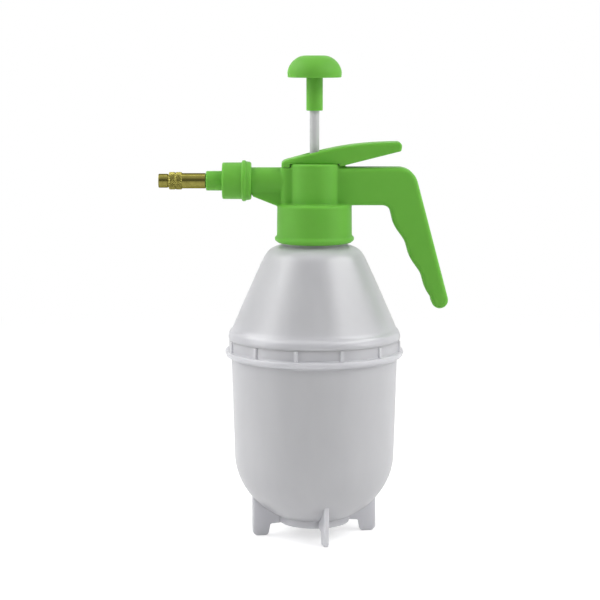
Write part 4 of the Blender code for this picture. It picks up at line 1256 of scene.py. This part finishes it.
@dataclass
class InnerWorks:
    """Pump and dip tube, which show when the head is lifted off, and the sealed pieces inside."""

    turned: tuple[Turned, ...] = (
        Turned("pump_barrel", "pump_cylinder", Slot.NATURAL, (
            (12.4, 271.0, 0.4), (12.4, 248.0), (24.4, 248.0, 0.5), (24.4, 245.6, 0.5), (12.4, 245.6),
            (12.4, 206.5, 0.4), (3.0, 206.5, 0.3), (3.0, 209.0), (11.0, 209.0, 0.8), (11.0, 271.0, 0.4),
        )),
        Turned("valve_cage", "check_valve_cage", Slot.NATURAL, (
            (12.4, 206.2, 0.3), (12.4, 197.7, 1.2), (3.0, 197.7, 0.3), (3.0, 199.2), (10.9, 199.2, 0.5),
            (10.9, 206.2, 0.3),
        )),
        Turned("neck_ring", "neck_gasket", Slot.RUBBER, (
            (21.9, 245.3, 0.5), (24.8, 245.3, 0.5), (24.8, 243.3, 0.5), (21.9, 243.3, 0.5),
        ), Body.NECK_SEAL),
        Turned("suction_tube", "dip_tube", Slot.NATURAL, (
            (1.7, 244.0, 0.2), (2.6, 244.0, 0.3), (2.6, 24.163, 0.3), (1.7, 24.163, 0.2),
        ), centre=DIP_AXIS, steps=48),
        Turned("foot_strainer", "dip_strainer", Slot.GREEN, (
            (2.9, 28.463, 0.3), (4.4, 28.463, 0.6), (4.4, 17.463, 1.0), (0.0, 17.463), (0.0, 19.063),
            (1.7, 19.063), (1.7, 23.863), (2.9, 23.863),
        ), centre=DIP_AXIS, steps=64),
    )
    hole_radius: float = 4.5
    hole_low: float = 244.6
    hole_top: float = 249.0
    slit_half: float = 0.6
    slit_reach: float = 5.4
    slit_low: float = 19.663
    slit_top: float = 23.063
    spring_radius: float = 2.3
    spring_wire: float = 0.34
    spring_low: float = 270.95
    spring_top: float = 280.45
    spring_turns: float = 4.5
    spring_keep: float = 0.49
    plain: dict[str, Slot] = field(default_factory=lambda: {
        "rod_guide": Slot.NATURAL,
        "check_valve_disc": Slot.RUBBER,
        "lever_pin": Slot.STEEL,
        "valve_gland": Slot.NATURAL,
        "valve_stem": Slot.NATURAL,
        "valve_upper_o_ring": Slot.RUBBER,
        "valve_lower_o_ring": Slot.RUBBER,
        "dip_tube_connector": Slot.NATURAL,
        "nozzle_gasket": Slot.RUBBER,
        "nozzle_stem": Slot.BRASS,
        "nozzle_o_ring": Slot.RUBBER,
        "piston": Slot.NATURAL,
        "piston_cup": Slot.RUBBER,
    })

    def connector_hole(self) -> Solid:
        """Model the hole in the cylinder's flange for the dip tube's connector."""
        return bar("connector_hole", self.hole_radius, self.hole_low, self.hole_top, centre=DIP_AXIS)

    def slits(self) -> list[Solid]:
        """Model the two crossed slits of the strainer."""
        wide, thin = self.slit_reach, self.slit_half
        across = [(-wide, -thin), (wide, -thin), (wide, thin), (-wide, thin)]
        along = [(y, x) for x, y in reversed(across)]
        found = []
        for k, outline in enumerate((across, along)):
            shifted = [(DIP_AXIS[0] + x, y) for x, y in outline]
            found.append(slab(f"strainer_slit_{k}", shifted, self.slit_low, self.slit_top, Axis.Z))
        return found

    def spring(self) -> Solid:
        """Model the valve's coil spring, wound from round wire."""
        section = arc(self.spring_radius, 0.0, self.spring_wire, 0.0, 330.0, 11)
        low = self.spring_low + self.spring_wire
        rise = self.spring_top - self.spring_wire - low
        coil = thread("stem_spring", section, low, rise / self.spring_turns, self.spring_turns, 36)
        coil.data.transform(Matrix.Translation(VALVE_AXIS))
        return coil

    def build(self, palette: Palette, nodes: Mapping[str, Solid]) -> None:
        """Make the pieces that can be seen and dress the CAD nodes that stay.

        Args:
            palette: the finishes.
            nodes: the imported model's objects by name.
        """
        cutters = {"pump_barrel": [self.connector_hole()], "foot_strainer": self.slits()}
        for piece in self.turned:
            piece.build(palette, cutters.get(piece.name, ()))
        spring = self.spring()
        seat(spring, Body.HEAD, palette, Slot.STEEL, "valve_spring")
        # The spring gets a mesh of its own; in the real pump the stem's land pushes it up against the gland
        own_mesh(spring)
        for name, slot in self.plain.items():
            palette.dress(nodes[name], slot)
            LOG.info("%s: dressed as %s", name, slot.value)


@dataclass(frozen=True)
class PhotoCamera:
    """The camera at the photograph's viewing angle."""

    place: Place = (-0.0028, -1.45, 0.378)
    pitch: float = 7.73
    lens: float = 115.5
    sensor: float = 36.0

    def build(self) -> None:
        """Make the camera and set it as the scene's own."""
        data = bpy.data.cameras.new("photo_camera")
        data.lens = self.lens
        data.sensor_width = self.sensor
        camera = bpy.data.objects.new("photo_camera", data)
        camera.location = self.place
        camera.rotation_euler = (math.radians(90 - self.pitch), 0.0, 0.0)
        bpy.context.scene.collection.objects.link(camera)
        bpy.context.scene.camera = camera


@dataclass(frozen=True)
class SoftBox:
    """One soft studio lamp."""

    name: str
    place: Place
    width: float
    height: float
    power: float

    def build(self, target: Vector) -> None:
        """Hang the lamp and aim it.

        Args:
            target: the point that it faces.
        """
        data = bpy.data.lights.new(self.name, "AREA")
        data.shape = "RECTANGLE"
        data.size = self.width
        data.size_y = self.height
        data.energy = self.power
        lamp = bpy.data.objects.new(self.name, data)
        lamp.location = self.place
        lamp.rotation_euler = (target - Vector(self.place)).to_track_quat("-Z", "Y").to_euler()
        bpy.context.scene.collection.objects.link(lamp)


def background_rays(tree: Tree) -> Socket:
    """Say which rays see the white background: the camera's own, and those off or through the pieces.

    Args:
        tree: the node tree that gets the nodes.

    Returns:
        A socket that is one for such a ray and zero for the others.
    """
    seen = add_node(tree, "LightPath", "Is Camera Ray")
    for kind in ("Is Glossy Ray", "Is Transmission Ray"):
        seen = maths(tree, "MAXIMUM", seen, add_node(tree, "LightPath", kind))
    return seen


@dataclass(frozen=True)
class Studio:
    """Pale floor that runs out to white, even room light and soft lamps at the sides."""

    room_light: float = 0.28
    dim_side: float = 0.22
    dim_edge: float = -0.55
    floor_colour: str = "E6E6E6"
    floor_roughness: float = 0.9
    floor_glow: float = 0.5
    floor_radius: float = 6.0
    floor_fade: Point = (0.35, 1.2)
    target: Place = (0.0, 0.0, 0.19)
    lamps: tuple[SoftBox, ...] = (
        SoftBox("left_box", (-1.47, 0.05, 1.55), 2.0, 0.9, 23.0),
        SoftBox("right_box", (1.4, -0.46, 1.55), 2.0, 0.9, 22.0),
        SoftBox("left_strip", (-1.5, -0.3, 0.35), 0.5, 0.9, 4.8),
        SoftBox("right_strip", (1.5, -0.5, 0.35), 0.5, 0.9, 4.0),
        SoftBox("top_box", (0.0, 0.1, 1.7), 0.6, 0.6, 1.5),
    )

    def floor(self) -> None:
        """Lay the floor, which keeps the shadow near the object and is white far off."""
        clear_selection()
        bpy.ops.mesh.primitive_circle_add(vertices=96, radius=self.floor_radius, fill_type="NGON")
        floor = bpy.context.object
        floor.name = "floor"
        material, tree, shader = new_material("pale_floor")
        feed(tree, shader, {"Base Color": linear(self.floor_colour), "Roughness": self.floor_roughness})
        reach = length(tree, add_node(tree, "TexCoord", "Object"))
        fade = remap(tree, reach, (0.0, 1.0), self.floor_fade, "SMOOTHSTEP")
        seen = background_rays(tree)
        lift = add_node(tree, "Math", "Value", {"operation": "MULTIPLY", 1: self.floor_glow}, {0: seen})
        glow = add_node(tree, "Emission", "Emission", {"Color": WHITE}, {"Strength": lift})
        near = add_node(tree, "AddShader", "Shader", links={0: shader.outputs["BSDF"], 1: glow})
        white = add_node(tree, "Emission", "Emission", {"Color": WHITE, "Strength": 1.0})
        share = maths(tree, "MULTIPLY", fade, seen)
        surface = add_node(tree, "MixShader", "Shader", links={0: share, 1: near, 2: white})
        feed(tree, tree.nodes["Material Output"], links={"Surface": surface})
        floor.data.materials.append(material)

    def room(self) -> None:
        """Light the room evenly, white where it is seen."""
        world = bpy.data.worlds.new("studio")
        world.use_nodes = True
        bpy.context.scene.world = world
        tree = world.node_tree
        way = add_node(tree, "TexCoord", "Generated")
        forward = add_node(tree, "SeparateXYZ", "Y", links={0: way})
        # The side where the photographer stands is dim, which only shows in gloss
        side = remap(tree, forward, (self.dim_side, 1.0), (-1.0, self.dim_edge), "SMOOTHSTEP")
        bright = maths(tree, "MAXIMUM", side, add_node(tree, "LightPath", "Is Camera Ray"))
        seen = background_rays(tree)
        strength = add_node(tree, "Mix", 0, {2: self.room_light}, {0: seen, 3: bright})
        feed(tree, tree.nodes["Background"], {"Color": WHITE}, {"Strength": strength})

    def build(self) -> None:
        """Set up floor, room light and lamps."""
        self.floor()
        self.room()
        for lamp in self.lamps:
            lamp.build(Vector(self.target))


def main() -> None:
    """Build every part of the picture in order."""
    logging.basicConfig(level=logging.INFO, format="%(message)s")
    for old in list(bpy.data.objects):
        bpy.data.objects.remove(old)
    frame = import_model()
    bpy.context.scene.view_settings.view_transform = "Standard"
    PhotoCamera().build()
    Studio().build()
    palette = Palette()
    for assembly in (Tank(), Head(), Lever(), Plunger(), Nozzle()):
        assembly.build(palette)
    InnerWorks().build(palette, frame["nodes"])


if __name__ == "__main__":
    main()
